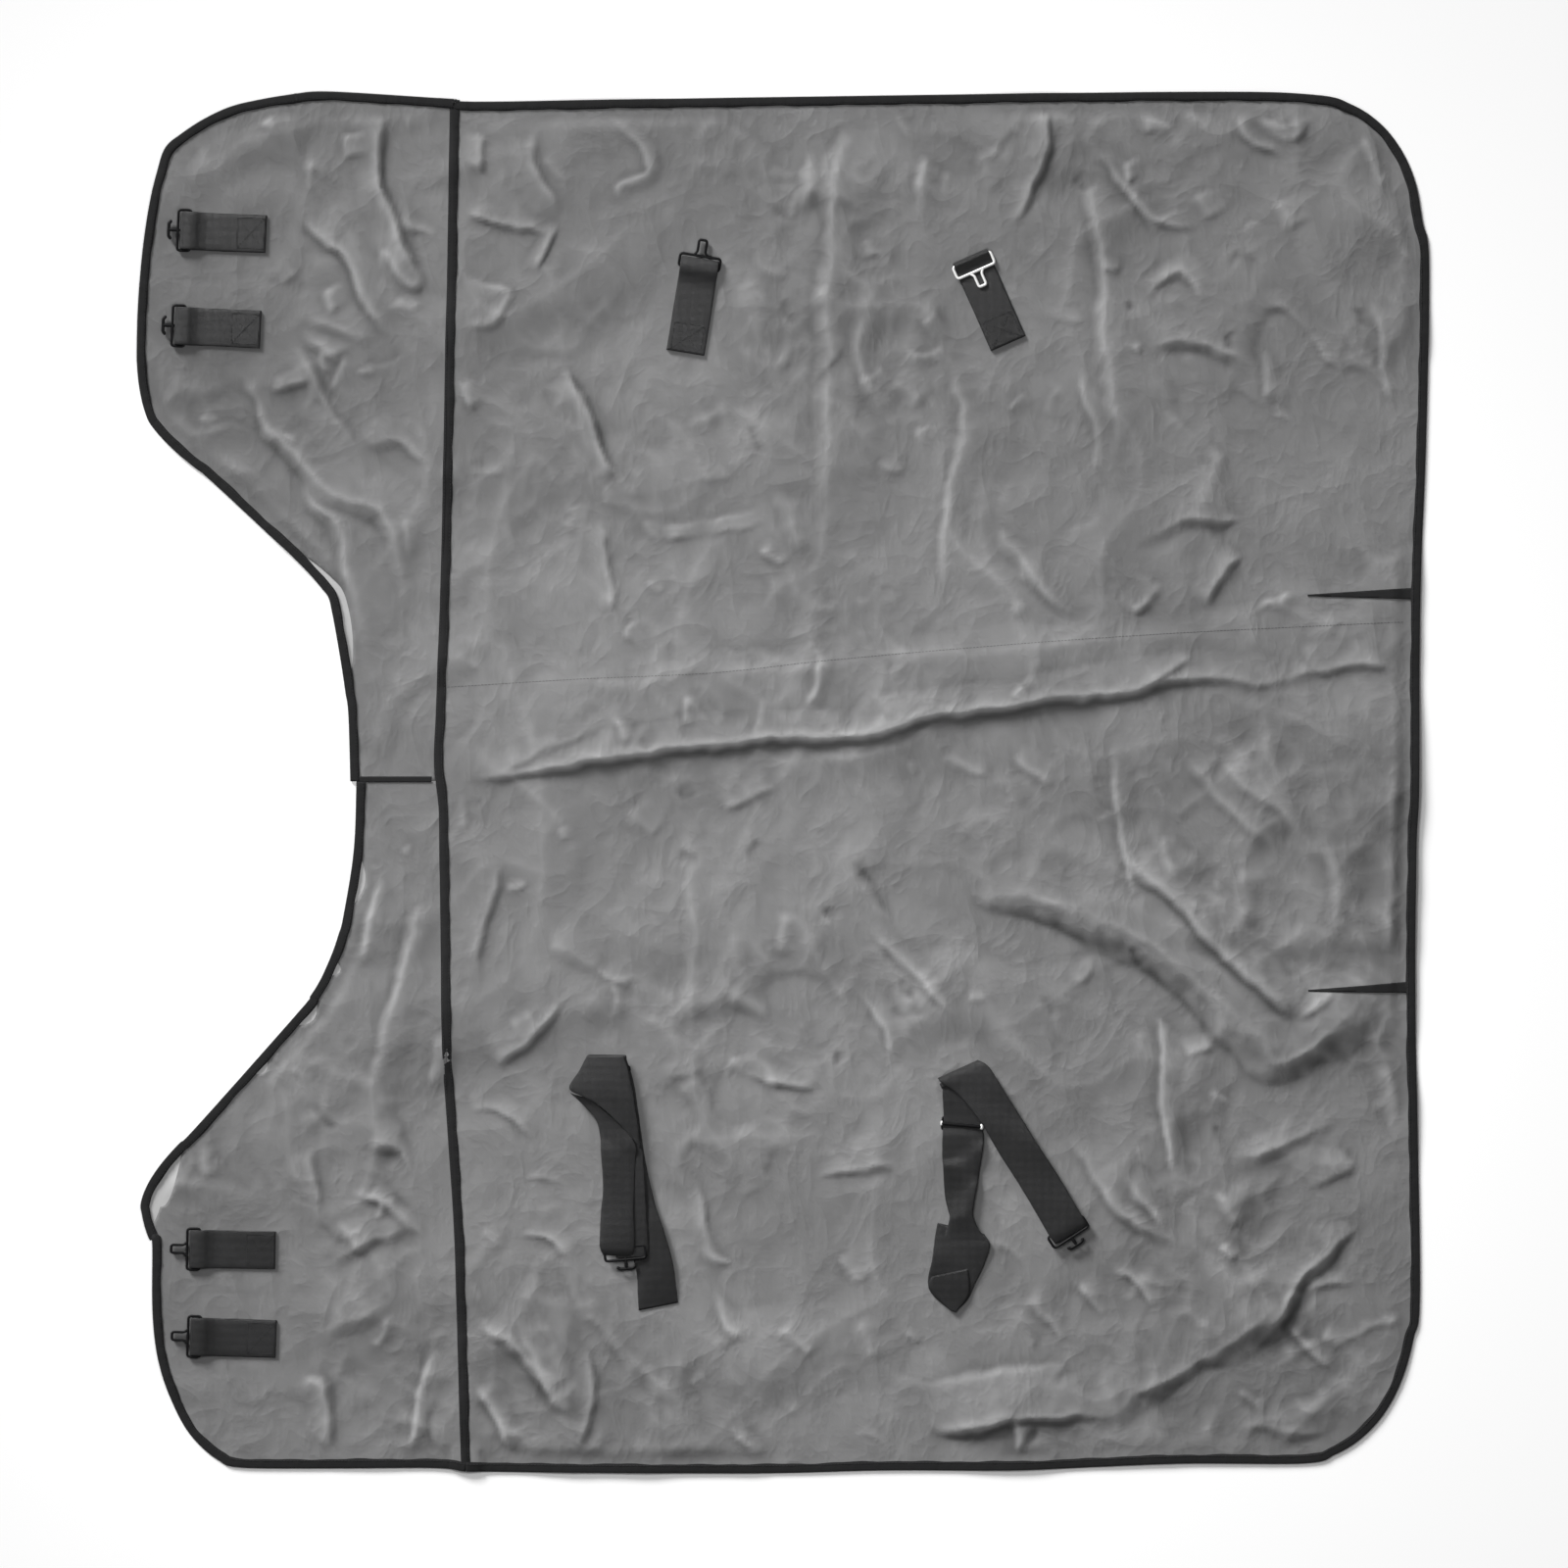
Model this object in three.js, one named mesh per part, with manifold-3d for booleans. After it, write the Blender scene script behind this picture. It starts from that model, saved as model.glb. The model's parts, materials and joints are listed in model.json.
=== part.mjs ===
// Horse fly sheet, laid flat with its outer face up.
// Millimetres. +X runs towards the tail, +Y towards the horse's right side, +Z up.
// The origin is under the middle of the sheet's box.
// The cloth is mirrored about the spine in plan, but each half keeps its own laid outline.
import * as THREE from 'three';
import { mergeVertices } from 'three/addons/utils/BufferGeometryUtils.js';
import Module from 'manifold-3d';

const wasm = await Module();
wasm.setup();

// ---- Overall sizes -------------------------------------------------------
const SHEET_LENGTH = 1750; // chest edge to tail edge
const SHEET_WIDTH = 1880; // hem to hem across the back
const SHOULDER_SETBACK = 430; // chest edge back to the shoulder seam at the right hem
const FLAP_REACH = 212; // chest edge back to the line where the chest flap folds

// ---- Cloth and trim ------------------------------------------------------
const CLOTH = 1.0; // outer mesh thickness
const LINING = 0.4; // shoulder lining thickness
const TAPE = 1.0; // seam tape and dart tape thickness
const BINDING_WIDTH = 12.5; // face of the edge binding
const BINDING_LEAF = 0.6; // thickness of each binding leaf
const BINDING_FOLD = 1.2; // binding material outside the cloth's edge
const SEAM_TAPE_WIDTH = 12.5;
const WITHERS_TAPE_WIDTH = 8;
const TAIL_JOINT = 80; // hem to where the hem binding meets the tail binding
const DART_LENGTH = 155;
const DART_BASE = 20; // dart width at the tail binding
const DART_TIP = 2; // dart width at its inner end

// ---- Webbing and fittings ------------------------------------------------
const WEB_WIDTH = 50.8; // two-inch webbing
const WEB = 1.8; // webbing thickness
const WIRE = 3.6; // diameter of the fittings' wire
const FRAME_DEPTH = 17; // rear bar to front bar of a fitting, centre to centre
const BAR_DEPTH = 14; // webbing end to the rear bar of a fitting that points outward
const FOLDED_BAR_DEPTH = 5; // the same for a fitting that is folded back
const HOOK_REACH = 29.5; // rear bar to the T's crossbar
const CROSSBAR = 23.5; // length of the T's crossbar
const HOOK_PLATE = 3; // thickness of the T's plate
const HOOK_STEM = 5; // width of the T's stem and crossbar
const BASE_RAMP = 15; // run over which a base strap rises off its sewn end
const BASE_CUT = 0.5; // a base strap's cut back from its fold
const EYE_REACH = 39; // rear bar to the outer end of an eye's slot
const EYE_SLOT = 7; // clear width of an eye's slot
const SLIDER_DEPTH = 20; // slider size along the strap
const SLIDER_BAR = 2.4; // thickness of a slider's bars
const SLIDER_RAIL = 3.2; // width of a slider's bars

// ---- Clearances ----------------------------------------------------------
const GAP = 0.3; // between pieces that touch or are sewn together
const SPINE_GAP = 1.8; // each half's cut back from the spine fold
const TAPE_SPINE_GAP = 2.2; // the tapes' cut back from the spine fold
const FLAP_GAP = 2.7; // cut back on each side of a flap's fold line

// ---- Derived places ------------------------------------------------------
const TAIL = SHEET_LENGTH / 2;
const CHEST = -SHEET_LENGTH / 2;
const HEM = SHEET_WIDTH / 2;
const SEAM = CHEST + SHOULDER_SETBACK;
const FOLD = CHEST + FLAP_REACH;
const CLOTH_LOW = BINDING_LEAF + GAP;
const CLOTH_TOP = CLOTH_LOW + CLOTH;
const BINDING_TOP = CLOTH_TOP + GAP + BINDING_LEAF;
const ON_CLOTH = CLOTH_TOP + GAP; // where trim and webbing sit
const HOLE = WIRE + 2 * GAP; // height of a webbing sleeve's hole
const SLEEVE = HOLE + 2 * WEB; // outer height of a webbing sleeve
const FRAME_HALF = WEB_WIDTH / 2 + GAP + WIRE / 2; // fitting centre to its side bar
const RUN_LOW = ON_CLOTH + SLIDER_BAR + GAP; // underside of a raised base strap
const SLIDER_TOP = RUN_LOW + WEB + GAP + SLIDER_BAR;
const LOOSE_LOW = SLIDER_TOP + GAP; // underside of a loose strap
const FAR = SHEET_LENGTH + SHEET_WIDTH; // larger than anything in the sheet
const OVERRUN = 20; // how far edges and cutters run past the line that trims them
const CURVE_STEPS = 6; // segments in each rounded stretch of an outline
const FOLD_STEPS = 4; // segments in each quarter of a webbing sleeve's fold
const ROUND_SIDES = 16; // sides of the fittings' round wire

// ---- Materials -----------------------------------------------------------
const MESH_CLOTH = { color: 0x7e7e7e, roughness: 0.85, metalness: 0 };
const BLACK_TAPE = { color: 0x1f1f1f, roughness: 0.75, metalness: 0 };
const BLACK_WEB = { color: 0x2b2b2b, roughness: 0.8, metalness: 0 };
const PALE_LINING = { color: 0xb6b6b6, roughness: 0.6, metalness: 0 };
const BLACK_STEEL = { color: 0x161616, roughness: 0.4, metalness: 0.6 };
const NICKEL = { color: 0xd8d8d8, roughness: 0.25, metalness: 1 };

// ---- Solids --------------------------------------------------------------
function solidOf(geometry) {
  const bare = geometry.clone();
  bare.deleteAttribute('normal');
  bare.deleteAttribute('uv');
  const joined = mergeVertices(bare);
  const vertProperties = new Float32Array(joined.attributes.position.array);
  const triVerts = new Uint32Array(joined.index.array);
  return new wasm.Manifold(new wasm.Mesh({ numProp: 3, vertProperties, triVerts }));
}

function geometryOf(solid) {
  const { vertProperties, triVerts } = solid.getMesh();
  const geometry = new THREE.BufferGeometry();
  geometry.setAttribute('position', new THREE.BufferAttribute(new Float32Array(vertProperties), 3));
  geometry.setIndex(new THREE.BufferAttribute(new Uint32Array(triVerts), 1));
  geometry.computeVertexNormals();
  return geometry;
}

function addPiece(parent, name, solid, look) {
  const mesh = new THREE.Mesh(geometryOf(solid), new THREE.MeshStandardMaterial(look));
  mesh.name = name;
  parent.add(mesh);
  return mesh;
}

function slab(points, low, high) {
  const shape = new THREE.Shape(points);
  const geometry = new THREE.ExtrudeGeometry(shape, { depth: high - low, bevelEnabled: false });
  return solidOf(geometry.translate(0, 0, low));
}

function block(x0, x1, y0, y1, z0, z1) {
  const geometry = new THREE.BoxGeometry(x1 - x0, y1 - y0, z1 - z0);
  return solidOf(geometry.translate((x0 + x1) / 2, (y0 + y1) / 2, (z0 + z1) / 2));
}

function rod(from, to, diameter) {
  const span = to.clone().sub(from);
  const geometry = new THREE.CylinderGeometry(diameter / 2, diameter / 2, span.length(), ROUND_SIDES);
  const turn = new THREE.Quaternion().setFromUnitVectors(
    new THREE.Vector3(0, 1, 0),
    span.clone().normalize(),
  );
  geometry.applyQuaternion(turn);
  const middle = from.clone().add(to).multiplyScalar(0.5);
  return solidOf(geometry.translate(middle.x, middle.y, middle.z));
}

function joinAll(solids) {
  return solids.reduce((whole, solid) => whole.add(solid));
}

// ---- Plan curves ---------------------------------------------------------
// In a half's own plan, x is the sheet's X and v is the distance out from the spine.
function offsetLine(points, distance) {
  return points.map((point, i) => {
    const arriving = points[Math.max(i, 1)].clone().sub(points[Math.max(i, 1) - 1]).normalize();
    const last = Math.min(i + 1, points.length - 1);
    const leaving = points[last].clone().sub(points[last - 1]).normalize();
    const along = arriving.clone().add(leaving).normalize();
    const inward = new THREE.Vector2(-along.y, along.x);
    return point.clone().addScaledVector(inward, distance / along.dot(arriving));
  });
}

function ribbon(points, near, far) {
  return [...offsetLine(points, near), ...offsetLine(points, far).reverse()];
}

// The outer edges run from the spine at the tail, round the hem and chest, to the withers.
function rightEdge() {
  const throat = HEM - 688;
  const edge = new THREE.Path();
  edge.moveTo(TAIL - 2, -OVERRUN);
  edge.lineTo(TAIL - 9, 252);
  edge.lineTo(TAIL - 5, 465);
  edge.lineTo(TAIL, HEM - 237);
  edge.bezierCurveTo(TAIL - 7, HEM - 120, TAIL - 35, HEM - 15, TAIL - 159, HEM - 3);
  edge.lineTo(TAIL - 325, HEM);
  edge.lineTo(TAIL - 875, HEM - 9);
  edge.lineTo(CHEST + 477, HEM - 9);
  edge.lineTo(CHEST + 265, HEM - 5);
  edge.bezierCurveTo(CHEST + 165, HEM - 6, CHEST + 75, HEM - 45, CHEST + 38, HEM - 80);
  edge.bezierCurveTo(CHEST + 13, HEM - 140, CHEST, HEM - 260, CHEST, HEM - 357);
  edge.quadraticCurveTo(CHEST, HEM - 415, CHEST + 16, HEM - 450);
  edge.quadraticCurveTo(CHEST + 33, HEM - 478, CHEST + 98, HEM - 529);
  edge.lineTo(CHEST + 184, HEM - 609);
  edge.quadraticCurveTo(CHEST + 233, HEM - 652, CHEST + 257, throat);
  edge.quadraticCurveTo(CHEST + 271, throat * 0.75, CHEST + 283, throat * 0.37);
  edge.lineTo(CHEST + 285, -OVERRUN);
  return edge.getPoints(CURVE_STEPS);
}

function leftEdge() {
  const throat = HEM - 760;
  const edge = new THREE.Path();
  edge.moveTo(TAIL - 4, -OVERRUN);
  edge.lineTo(TAIL - 12, 93);
  edge.lineTo(TAIL - 17, 300);
  edge.lineTo(TAIL - 14, HEM - 264);
  edge.bezierCurveTo(TAIL - 20, HEM - 100, TAIL - 75, HEM - 32, TAIL - 172, HEM - 17);
  edge.lineTo(TAIL - 345, HEM - 16);
  edge.lineTo(TAIL - 557, HEM - 5);
  edge.lineTo(TAIL - 742, HEM - 11);
  edge.lineTo(TAIL - 902, HEM - 4);
  edge.lineTo(CHEST + 583, HEM);
  edge.lineTo(CHEST + 398, HEM - 12);
  edge.lineTo(CHEST + 212, HEM - 11);
  edge.lineTo(CHEST + 133, HEM - 15);
  edge.bezierCurveTo(CHEST + 90, HEM - 28, CHEST + 35, HEM - 105, CHEST + 25, HEM - 184);
  edge.lineTo(CHEST + 21, HEM - 237);
  edge.lineTo(CHEST + 21, HEM - 317);
  edge.quadraticCurveTo(CHEST + 10, HEM - 335, CHEST + 5, HEM - 370);
  edge.quadraticCurveTo(CHEST + 10, HEM - 412, CHEST + 80, HEM - 476);
  edge.lineTo(CHEST + 213, HEM - 635);
  edge.quadraticCurveTo(CHEST + 252, HEM - 690, CHEST + 276, throat);
  edge.lineTo(CHEST + 288, throat * 0.5);
  edge.lineTo(CHEST + 294, -OVERRUN);
  return edge.getPoints(CURVE_STEPS);
}

// The shoulder seams run from past the hem to past the spine.
function rightSeam() {
  return [
    new THREE.Vector2(SEAM, HEM + OVERRUN),
    new THREE.Vector2(SEAM - 5, HEM - 280),
    new THREE.Vector2(SEAM - 12, HEM - 640),
    new THREE.Vector2(SEAM - 26, -OVERRUN),
  ];
}

function leftSeam() {
  return [
    new THREE.Vector2(SEAM + 16, HEM + OVERRUN),
    new THREE.Vector2(SEAM + 5, HEM - 340),
    new THREE.Vector2(SEAM - 10, HEM - 560),
    new THREE.Vector2(SEAM - 16, 30),
    new THREE.Vector2(SEAM - 26, -OVERRUN),
  ];
}

const SIDES = {
  right: { sign: 1, edge: rightEdge(), seam: rightSeam(), dartTip: 255, dartBase: 258 },
  left: { sign: -1, edge: leftEdge(), seam: leftSeam(), dartTip: 279, dartBase: 273 },
};

// A half's plan points in the sheet's own X and Y.
function onSheet(side, points) {
  return points.map((point) => new THREE.Vector2(point.x, side.sign * point.y));
}

// A block across one half, from x0 to x1 and from v0 to v1 out from the spine.
function halfBlock(side, x0, x1, v0, v1) {
  const near = side.sign * v0;
  const far = side.sign * v1;
  return block(x0, x1, Math.min(near, far), Math.max(near, far), -FAR, FAR);
}

// All of the sheet ahead of the shoulder seam, or all behind it.
function seamSide(side, direction) {
  const line = offsetLine(side.seam, direction * GAP);
  const first = line[0];
  const last = line[line.length - 1];
  const beyond = direction * FAR;
  const outline = [
    ...line,
    new THREE.Vector2(last.x + beyond, last.y),
    new THREE.Vector2(first.x + beyond, first.y),
  ];
  return slab(onSheet(side, outline), -FAR, FAR);
}

// ---- Cloth, lining, binding and tapes of one half ------------------------
function buildHalf(sheet, sideName) {
  const side = SIDES[sideName];
  const clothEdge = offsetLine(side.edge, BINDING_FOLD + GAP);
  const openEdge = offsetLine(side.edge, BINDING_WIDTH + GAP);
  const outerRibbon = onSheet(side, ribbon(side.edge, 0, BINDING_WIDTH));
  const slotRibbon = onSheet(side, ribbon(side.edge, BINDING_FOLD, BINDING_WIDTH + GAP));

  const cloth = slab(onSheet(side, clothEdge), CLOTH_LOW, CLOTH_TOP);
  const lining = slab(onSheet(side, openEdge), BINDING_LEAF - LINING, BINDING_LEAF);
  const slot = slab(slotRibbon, BINDING_LEAF, BINDING_TOP - BINDING_LEAF);
  const binding = slab(outerRibbon, 0, BINDING_TOP).subtract(slot);
  const open = slab(onSheet(side, openEdge), -FAR, FAR);

  const whole = halfBlock(side, -FAR, FAR, SPINE_GAP, FAR);
  const ahead = seamSide(side, -1).intersect(whole);
  const behind = seamSide(side, 1).intersect(whole);
  const flap = halfBlock(side, -FAR, FOLD - FLAP_GAP, SPINE_GAP, FAR);
  const shoulder = ahead.intersect(halfBlock(side, FOLD + FLAP_GAP, FAR, SPINE_GAP, FAR));
  const hemHalf = halfBlock(side, -FAR, FAR, HEM / 2, FAR);
  const neckHalf = halfBlock(side, -FAR, FAR, SPINE_GAP, HEM / 2);
  const cornerLine = HEM - TAIL_JOINT;
  const hemStrip = halfBlock(side, -FAR, FAR, cornerLine + GAP / 2, FAR);
  const tailStrip = halfBlock(side, -FAR, FAR, SPINE_GAP, cornerLine - GAP / 2);

  addPiece(sheet, `${sideName}_body_panel`, cloth.intersect(behind), MESH_CLOTH);
  addPiece(sheet, `${sideName}_front_panel`, cloth.intersect(shoulder), MESH_CLOTH);
  addPiece(sheet, `${sideName}_chest_flap`, cloth.intersect(flap), MESH_CLOTH);
  addPiece(sheet, `${sideName}_shoulder_lining`, lining.intersect(shoulder), PALE_LINING);
  addPiece(sheet, `${sideName}_flap_lining`, lining.intersect(flap), PALE_LINING);

  const bodyBinding = binding.intersect(behind);
  const frontBinding = binding.intersect(shoulder);
  addPiece(sheet, `${sideName}_hem_binding`, bodyBinding.intersect(hemStrip), BLACK_TAPE);
  addPiece(sheet, `${sideName}_tail_binding`, bodyBinding.intersect(tailStrip), BLACK_TAPE);
  addPiece(sheet, `${sideName}_shoulder_binding`, frontBinding.intersect(hemHalf), BLACK_TAPE);
  addPiece(sheet, `${sideName}_neck_binding`, frontBinding.intersect(neckHalf), BLACK_TAPE);
  addPiece(sheet, `${sideName}_flap_binding`, binding.intersect(flap), BLACK_TAPE);

  const tapeTop = ON_CLOTH + TAPE;
  const seamRibbon = ribbon(side.seam, -SEAM_TAPE_WIDTH / 2, SEAM_TAPE_WIDTH / 2);
  const seamTape = slab(onSheet(side, seamRibbon), ON_CLOTH, tapeTop);
  const tapeArea = open.intersect(halfBlock(side, -FAR, FAR, TAPE_SPINE_GAP, FAR));
  addPiece(sheet, `${sideName}_seam_tape`, seamTape.intersect(tapeArea), BLACK_TAPE);

  const dart = slab(onSheet(side, [
    new THREE.Vector2(TAIL + OVERRUN, side.dartBase - DART_BASE / 2),
    new THREE.Vector2(TAIL + OVERRUN, side.dartBase + DART_BASE / 2),
    new THREE.Vector2(TAIL - BINDING_WIDTH - DART_LENGTH, side.dartTip + DART_TIP / 2),
    new THREE.Vector2(TAIL - BINDING_WIDTH - DART_LENGTH, side.dartTip - DART_TIP / 2),
  ]), ON_CLOTH, tapeTop);
  addPiece(sheet, `${sideName}_tail_dart`, dart.intersect(open), BLACK_TAPE);
}

// The short tape over the withers seam, beside the spine fold and ahead of the seam tape.
function buildWithersTape(sheet) {
  const side = SIDES.right;
  const tape = halfBlock(side, -FAR, FAR, TAPE_SPINE_GAP, TAPE_SPINE_GAP + WITHERS_TAPE_WIDTH);
  const layer = block(-FAR, FAR, -FAR, FAR, ON_CLOTH, ON_CLOTH + TAPE);
  const open = slab(onSheet(side, offsetLine(side.edge, BINDING_WIDTH + GAP)), -FAR, FAR);
  const beforeSeam = offsetLine(side.seam, -(SEAM_TAPE_WIDTH / 2 + GAP));
  const reach = new THREE.Vector2(-FAR, 0);
  const ahead = slab(onSheet(side, [
    ...beforeSeam,
    beforeSeam[beforeSeam.length - 1].clone().add(reach),
    beforeSeam[0].clone().add(reach),
  ]), -FAR, FAR);
  const solid = tape.intersect(layer).intersect(open).intersect(ahead);
  addPiece(sheet, 'withers_tape', solid, BLACK_TAPE);
}

// ---- Webbing and fittings ------------------------------------------------
// Their own frame: x = 0 at the webbing's end and +x pointing off it, z = 0 underneath.
function sleeveHole(barDepth) {
  const hole = new THREE.Path();
  hole.absarc(-SLEEVE / 2, SLEEVE / 2, HOLE / 2, -Math.PI / 2, Math.PI / 2, false);
  hole.absarc(-barDepth, SLEEVE / 2, HOLE / 2, Math.PI / 2, 1.5 * Math.PI, false);
  return hole;
}

function acrossWebbing(profile) {
  const geometry = new THREE.ExtrudeGeometry(profile, {
    depth: WEB_WIDTH,
    bevelEnabled: false,
    curveSegments: FOLD_STEPS,
  });
  return solidOf(geometry.rotateX(Math.PI / 2).translate(0, WEB_WIDTH / 2, 0));
}

// A sewn tab: one layer of webbing that opens into a sleeve at its end.
function tabSolid(length, barDepth) {
  const sleeve = barDepth + HOLE / 2 + WEB;
  const profile = new THREE.Shape();
  profile.moveTo(-length, 0);
  profile.absarc(-SLEEVE / 2, SLEEVE / 2, SLEEVE / 2, -Math.PI / 2, Math.PI / 2, false);
  profile.lineTo(-sleeve, SLEEVE);
  profile.lineTo(-sleeve - SLEEVE + WEB, WEB);
  profile.lineTo(-length, WEB);
  profile.closePath();
  profile.holes.push(sleeveHole(barDepth));
  return acrossWebbing(profile);
}

// A loose doubled strap with the sleeve at its end, centred on the strap's thickness.
function looseStrapSolid(length) {
  const sleeve = BAR_DEPTH + HOLE / 2 + WEB;
  const low = SLEEVE / 2 - WEB;
  const high = SLEEVE / 2 + WEB;
  const profile = new THREE.Shape();
  profile.moveTo(-length, low);
  profile.lineTo(-sleeve - low, low);
  profile.lineTo(-sleeve, 0);
  profile.absarc(-SLEEVE / 2, SLEEVE / 2, SLEEVE / 2, -Math.PI / 2, Math.PI / 2, false);
  profile.lineTo(-sleeve, SLEEVE);
  profile.lineTo(-sleeve - low, high);
  profile.lineTo(-length, high);
  profile.closePath();
  profile.holes.push(sleeveHole(BAR_DEPTH));
  return acrossWebbing(profile);
}

// A base strap, from past its fold at x = 0 to its sewn end at x = length.
function baseStrapSolid(length) {
  const sewn = WEB_WIDTH; // the sewn stretch is a square
  const rise = RUN_LOW - ON_CLOTH;
  const profile = new THREE.Shape();
  profile.moveTo(-WEB_WIDTH, rise);
  profile.lineTo(length - sewn - BASE_RAMP, rise);
  profile.lineTo(length - sewn, 0);
  profile.lineTo(length, 0);
  profile.lineTo(length, WEB);
  profile.lineTo(length - sewn, WEB);
  profile.lineTo(length - sewn - BASE_RAMP, rise + WEB);
  profile.lineTo(-WEB_WIDTH, rise + WEB);
  profile.closePath();
  return acrossWebbing(profile);
}

// The wire frame of a fitting, about its rear bar, which the webbing's sleeve holds.
function fittingFrame() {
  const reach = FRAME_HALF + WIRE / 2;
  const rods = [0, FRAME_DEPTH].map((x) => (
    rod(new THREE.Vector3(x, -reach, 0), new THREE.Vector3(x, reach, 0), WIRE)
  ));
  for (const y of [-FRAME_HALF, FRAME_HALF]) {
    rods.push(rod(new THREE.Vector3(0, y, 0), new THREE.Vector3(FRAME_DEPTH, y, 0), WIRE));
  }
  return rods;
}

function hookSolid() {
  const half = HOOK_STEM / 2;
  const thick = HOOK_PLATE / 2;
  const stem = block(FRAME_DEPTH, HOOK_REACH, -half, half, -thick, thick);
  const crossbar = block(
    HOOK_REACH - half, HOOK_REACH + half,
    -CROSSBAR / 2, CROSSBAR / 2,
    -thick, thick,
  );
  return joinAll([...fittingFrame(), stem, crossbar]);
}

function eyeSolid() {
  const prong = (EYE_SLOT + WIRE) / 2;
  const rods = fittingFrame();
  for (const y of [-prong, prong]) {
    rods.push(rod(new THREE.Vector3(FRAME_DEPTH, y, 0), new THREE.Vector3(EYE_REACH, y, 0), WIRE));
  }
  const reach = prong + WIRE / 2;
  rods.push(rod(
    new THREE.Vector3(EYE_REACH, -reach, 0),
    new THREE.Vector3(EYE_REACH, reach, 0),
    WIRE,
  ));
  return joinAll(rods);
}

// The slider's rails pass over the strap and its middle bar under it; z = 0 is its underside.
function sliderSolid() {
  const end = SLIDER_DEPTH / 2;
  const inner = WEB_WIDTH / 2 + GAP;
  const outer = inner + SLIDER_RAIL;
  const height = SLIDER_TOP - ON_CLOTH;
  const bars = [
    block(-end, end, -outer, -inner, 0, height),
    block(-end, end, inner, outer, 0, height),
    block(-SLIDER_RAIL / 2, SLIDER_RAIL / 2, -outer, outer, 0, SLIDER_BAR),
    block(-end, -end + SLIDER_RAIL, -outer, outer, height - SLIDER_BAR, height),
    block(end - SLIDER_RAIL, end, -outer, outer, height - SLIDER_BAR, height),
  ];
  return joinAll(bars);
}

function strapGroup(parent, x, y, z, degrees) {
  const group = new THREE.Group();
  group.position.set(x, y, z);
  group.rotation.z = THREE.MathUtils.degToRad(degrees);
  parent.add(group);
  return group;
}

// A tab sewn to the cloth, with a fitting that points off its end or is folded back over it.
function buildTab(sheet, tab) {
  const group = strapGroup(sheet, tab.end.x, tab.end.y, ON_CLOTH, tab.heading);
  const barDepth = tab.foldedBack ? FOLDED_BAR_DEPTH : BAR_DEPTH;
  addPiece(group, tab.name, tabSolid(tab.length, barDepth), BLACK_WEB);
  const solid = tab.fitting.endsWith('hook') ? hookSolid() : eyeSolid();
  const fitting = addPiece(group, tab.fitting, solid, tab.foldedBack ? NICKEL : BLACK_STEEL);
  fitting.position.set(-barDepth, 0, SLEEVE / 2);
  fitting.rotation.y = tab.foldedBack ? Math.PI : 0;
}

const CHEST_TAB_LENGTH = 117;
const ANCHOR_LENGTH = 130;
const TABS = [
  {
    name: 'right_upper_tab',
    fitting: 'right_upper_hook',
    end: new THREE.Vector2(CHEST + 59.5, HEM - 192),
    heading: 177.5,
    length: CHEST_TAB_LENGTH,
  },
  {
    name: 'right_lower_tab',
    fitting: 'right_lower_hook',
    end: new THREE.Vector2(CHEST + 52, HEM - 321),
    heading: 177.5,
    length: CHEST_TAB_LENGTH,
  },
  {
    name: 'left_upper_tab',
    fitting: 'left_upper_eye',
    end: new THREE.Vector2(CHEST + 72, -HEM + 312),
    heading: 179,
    length: CHEST_TAB_LENGTH,
  },
  {
    name: 'left_lower_tab',
    fitting: 'left_lower_eye',
    end: new THREE.Vector2(CHEST + 73, -HEM + 194),
    heading: 178,
    length: CHEST_TAB_LENGTH,
  },
  {
    name: 'right_front_anchor',
    fitting: 'right_front_eye',
    end: new THREE.Vector2(SEAM + 332, HEM - 230),
    heading: 80.7,
    length: ANCHOR_LENGTH,
  },
  {
    name: 'right_rear_anchor',
    fitting: 'right_rear_eye',
    end: new THREE.Vector2(SEAM + 696, HEM - 227),
    heading: 113.8,
    length: ANCHOR_LENGTH,
    foldedBack: true,
  },
];

// A surcingle strap: a base strap up to its fold and slider, and a loose strap back down.
// heading is halfway between the two straps, and each leaves it by spread.
function buildSurcingle(sheet, strap) {
  const group = strapGroup(sheet, strap.fold.x, strap.fold.y, 0, strap.heading);
  const spread = THREE.MathUtils.degToRad(strap.spread);

  const base = geometryOf(baseStrapSolid(strap.baseLength));
  base.rotateZ(spread).translate(0, 0, ON_CLOTH);
  const baseArea = block(BASE_CUT, FAR, -FAR, FAR, -FAR, FAR);
  const baseSolid = solidOf(base).intersect(baseArea);
  addPiece(group, `left_${strap.name}_base_strap`, baseSolid, BLACK_WEB);

  const loose = geometryOf(looseStrapSolid(strap.looseLength + WEB_WIDTH));
  loose.translate(strap.looseLength, 0, LOOSE_LOW - (SLEEVE / 2 - WEB)).rotateZ(-spread);
  const looseArea = block(0, FAR, -FAR, FAR, -FAR, FAR);
  const looseSolid = solidOf(loose).intersect(looseArea);
  addPiece(group, `left_${strap.name}_loose_strap`, looseSolid, BLACK_WEB);

  const slider = addPiece(group, `left_${strap.name}_slider`, sliderSolid(), BLACK_STEEL);
  slider.position.set(strap.sliderAt * Math.cos(spread), strap.sliderAt * Math.sin(spread), ON_CLOTH);
  slider.rotation.z = spread;

  const hook = addPiece(group, `left_${strap.name}_hook`, hookSolid(), BLACK_STEEL);
  const bar = strap.looseLength - BAR_DEPTH;
  hook.position.set(bar * Math.cos(-spread), bar * Math.sin(-spread), LOOSE_LOW + WEB);
  hook.rotation.z = -spread;
}

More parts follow.
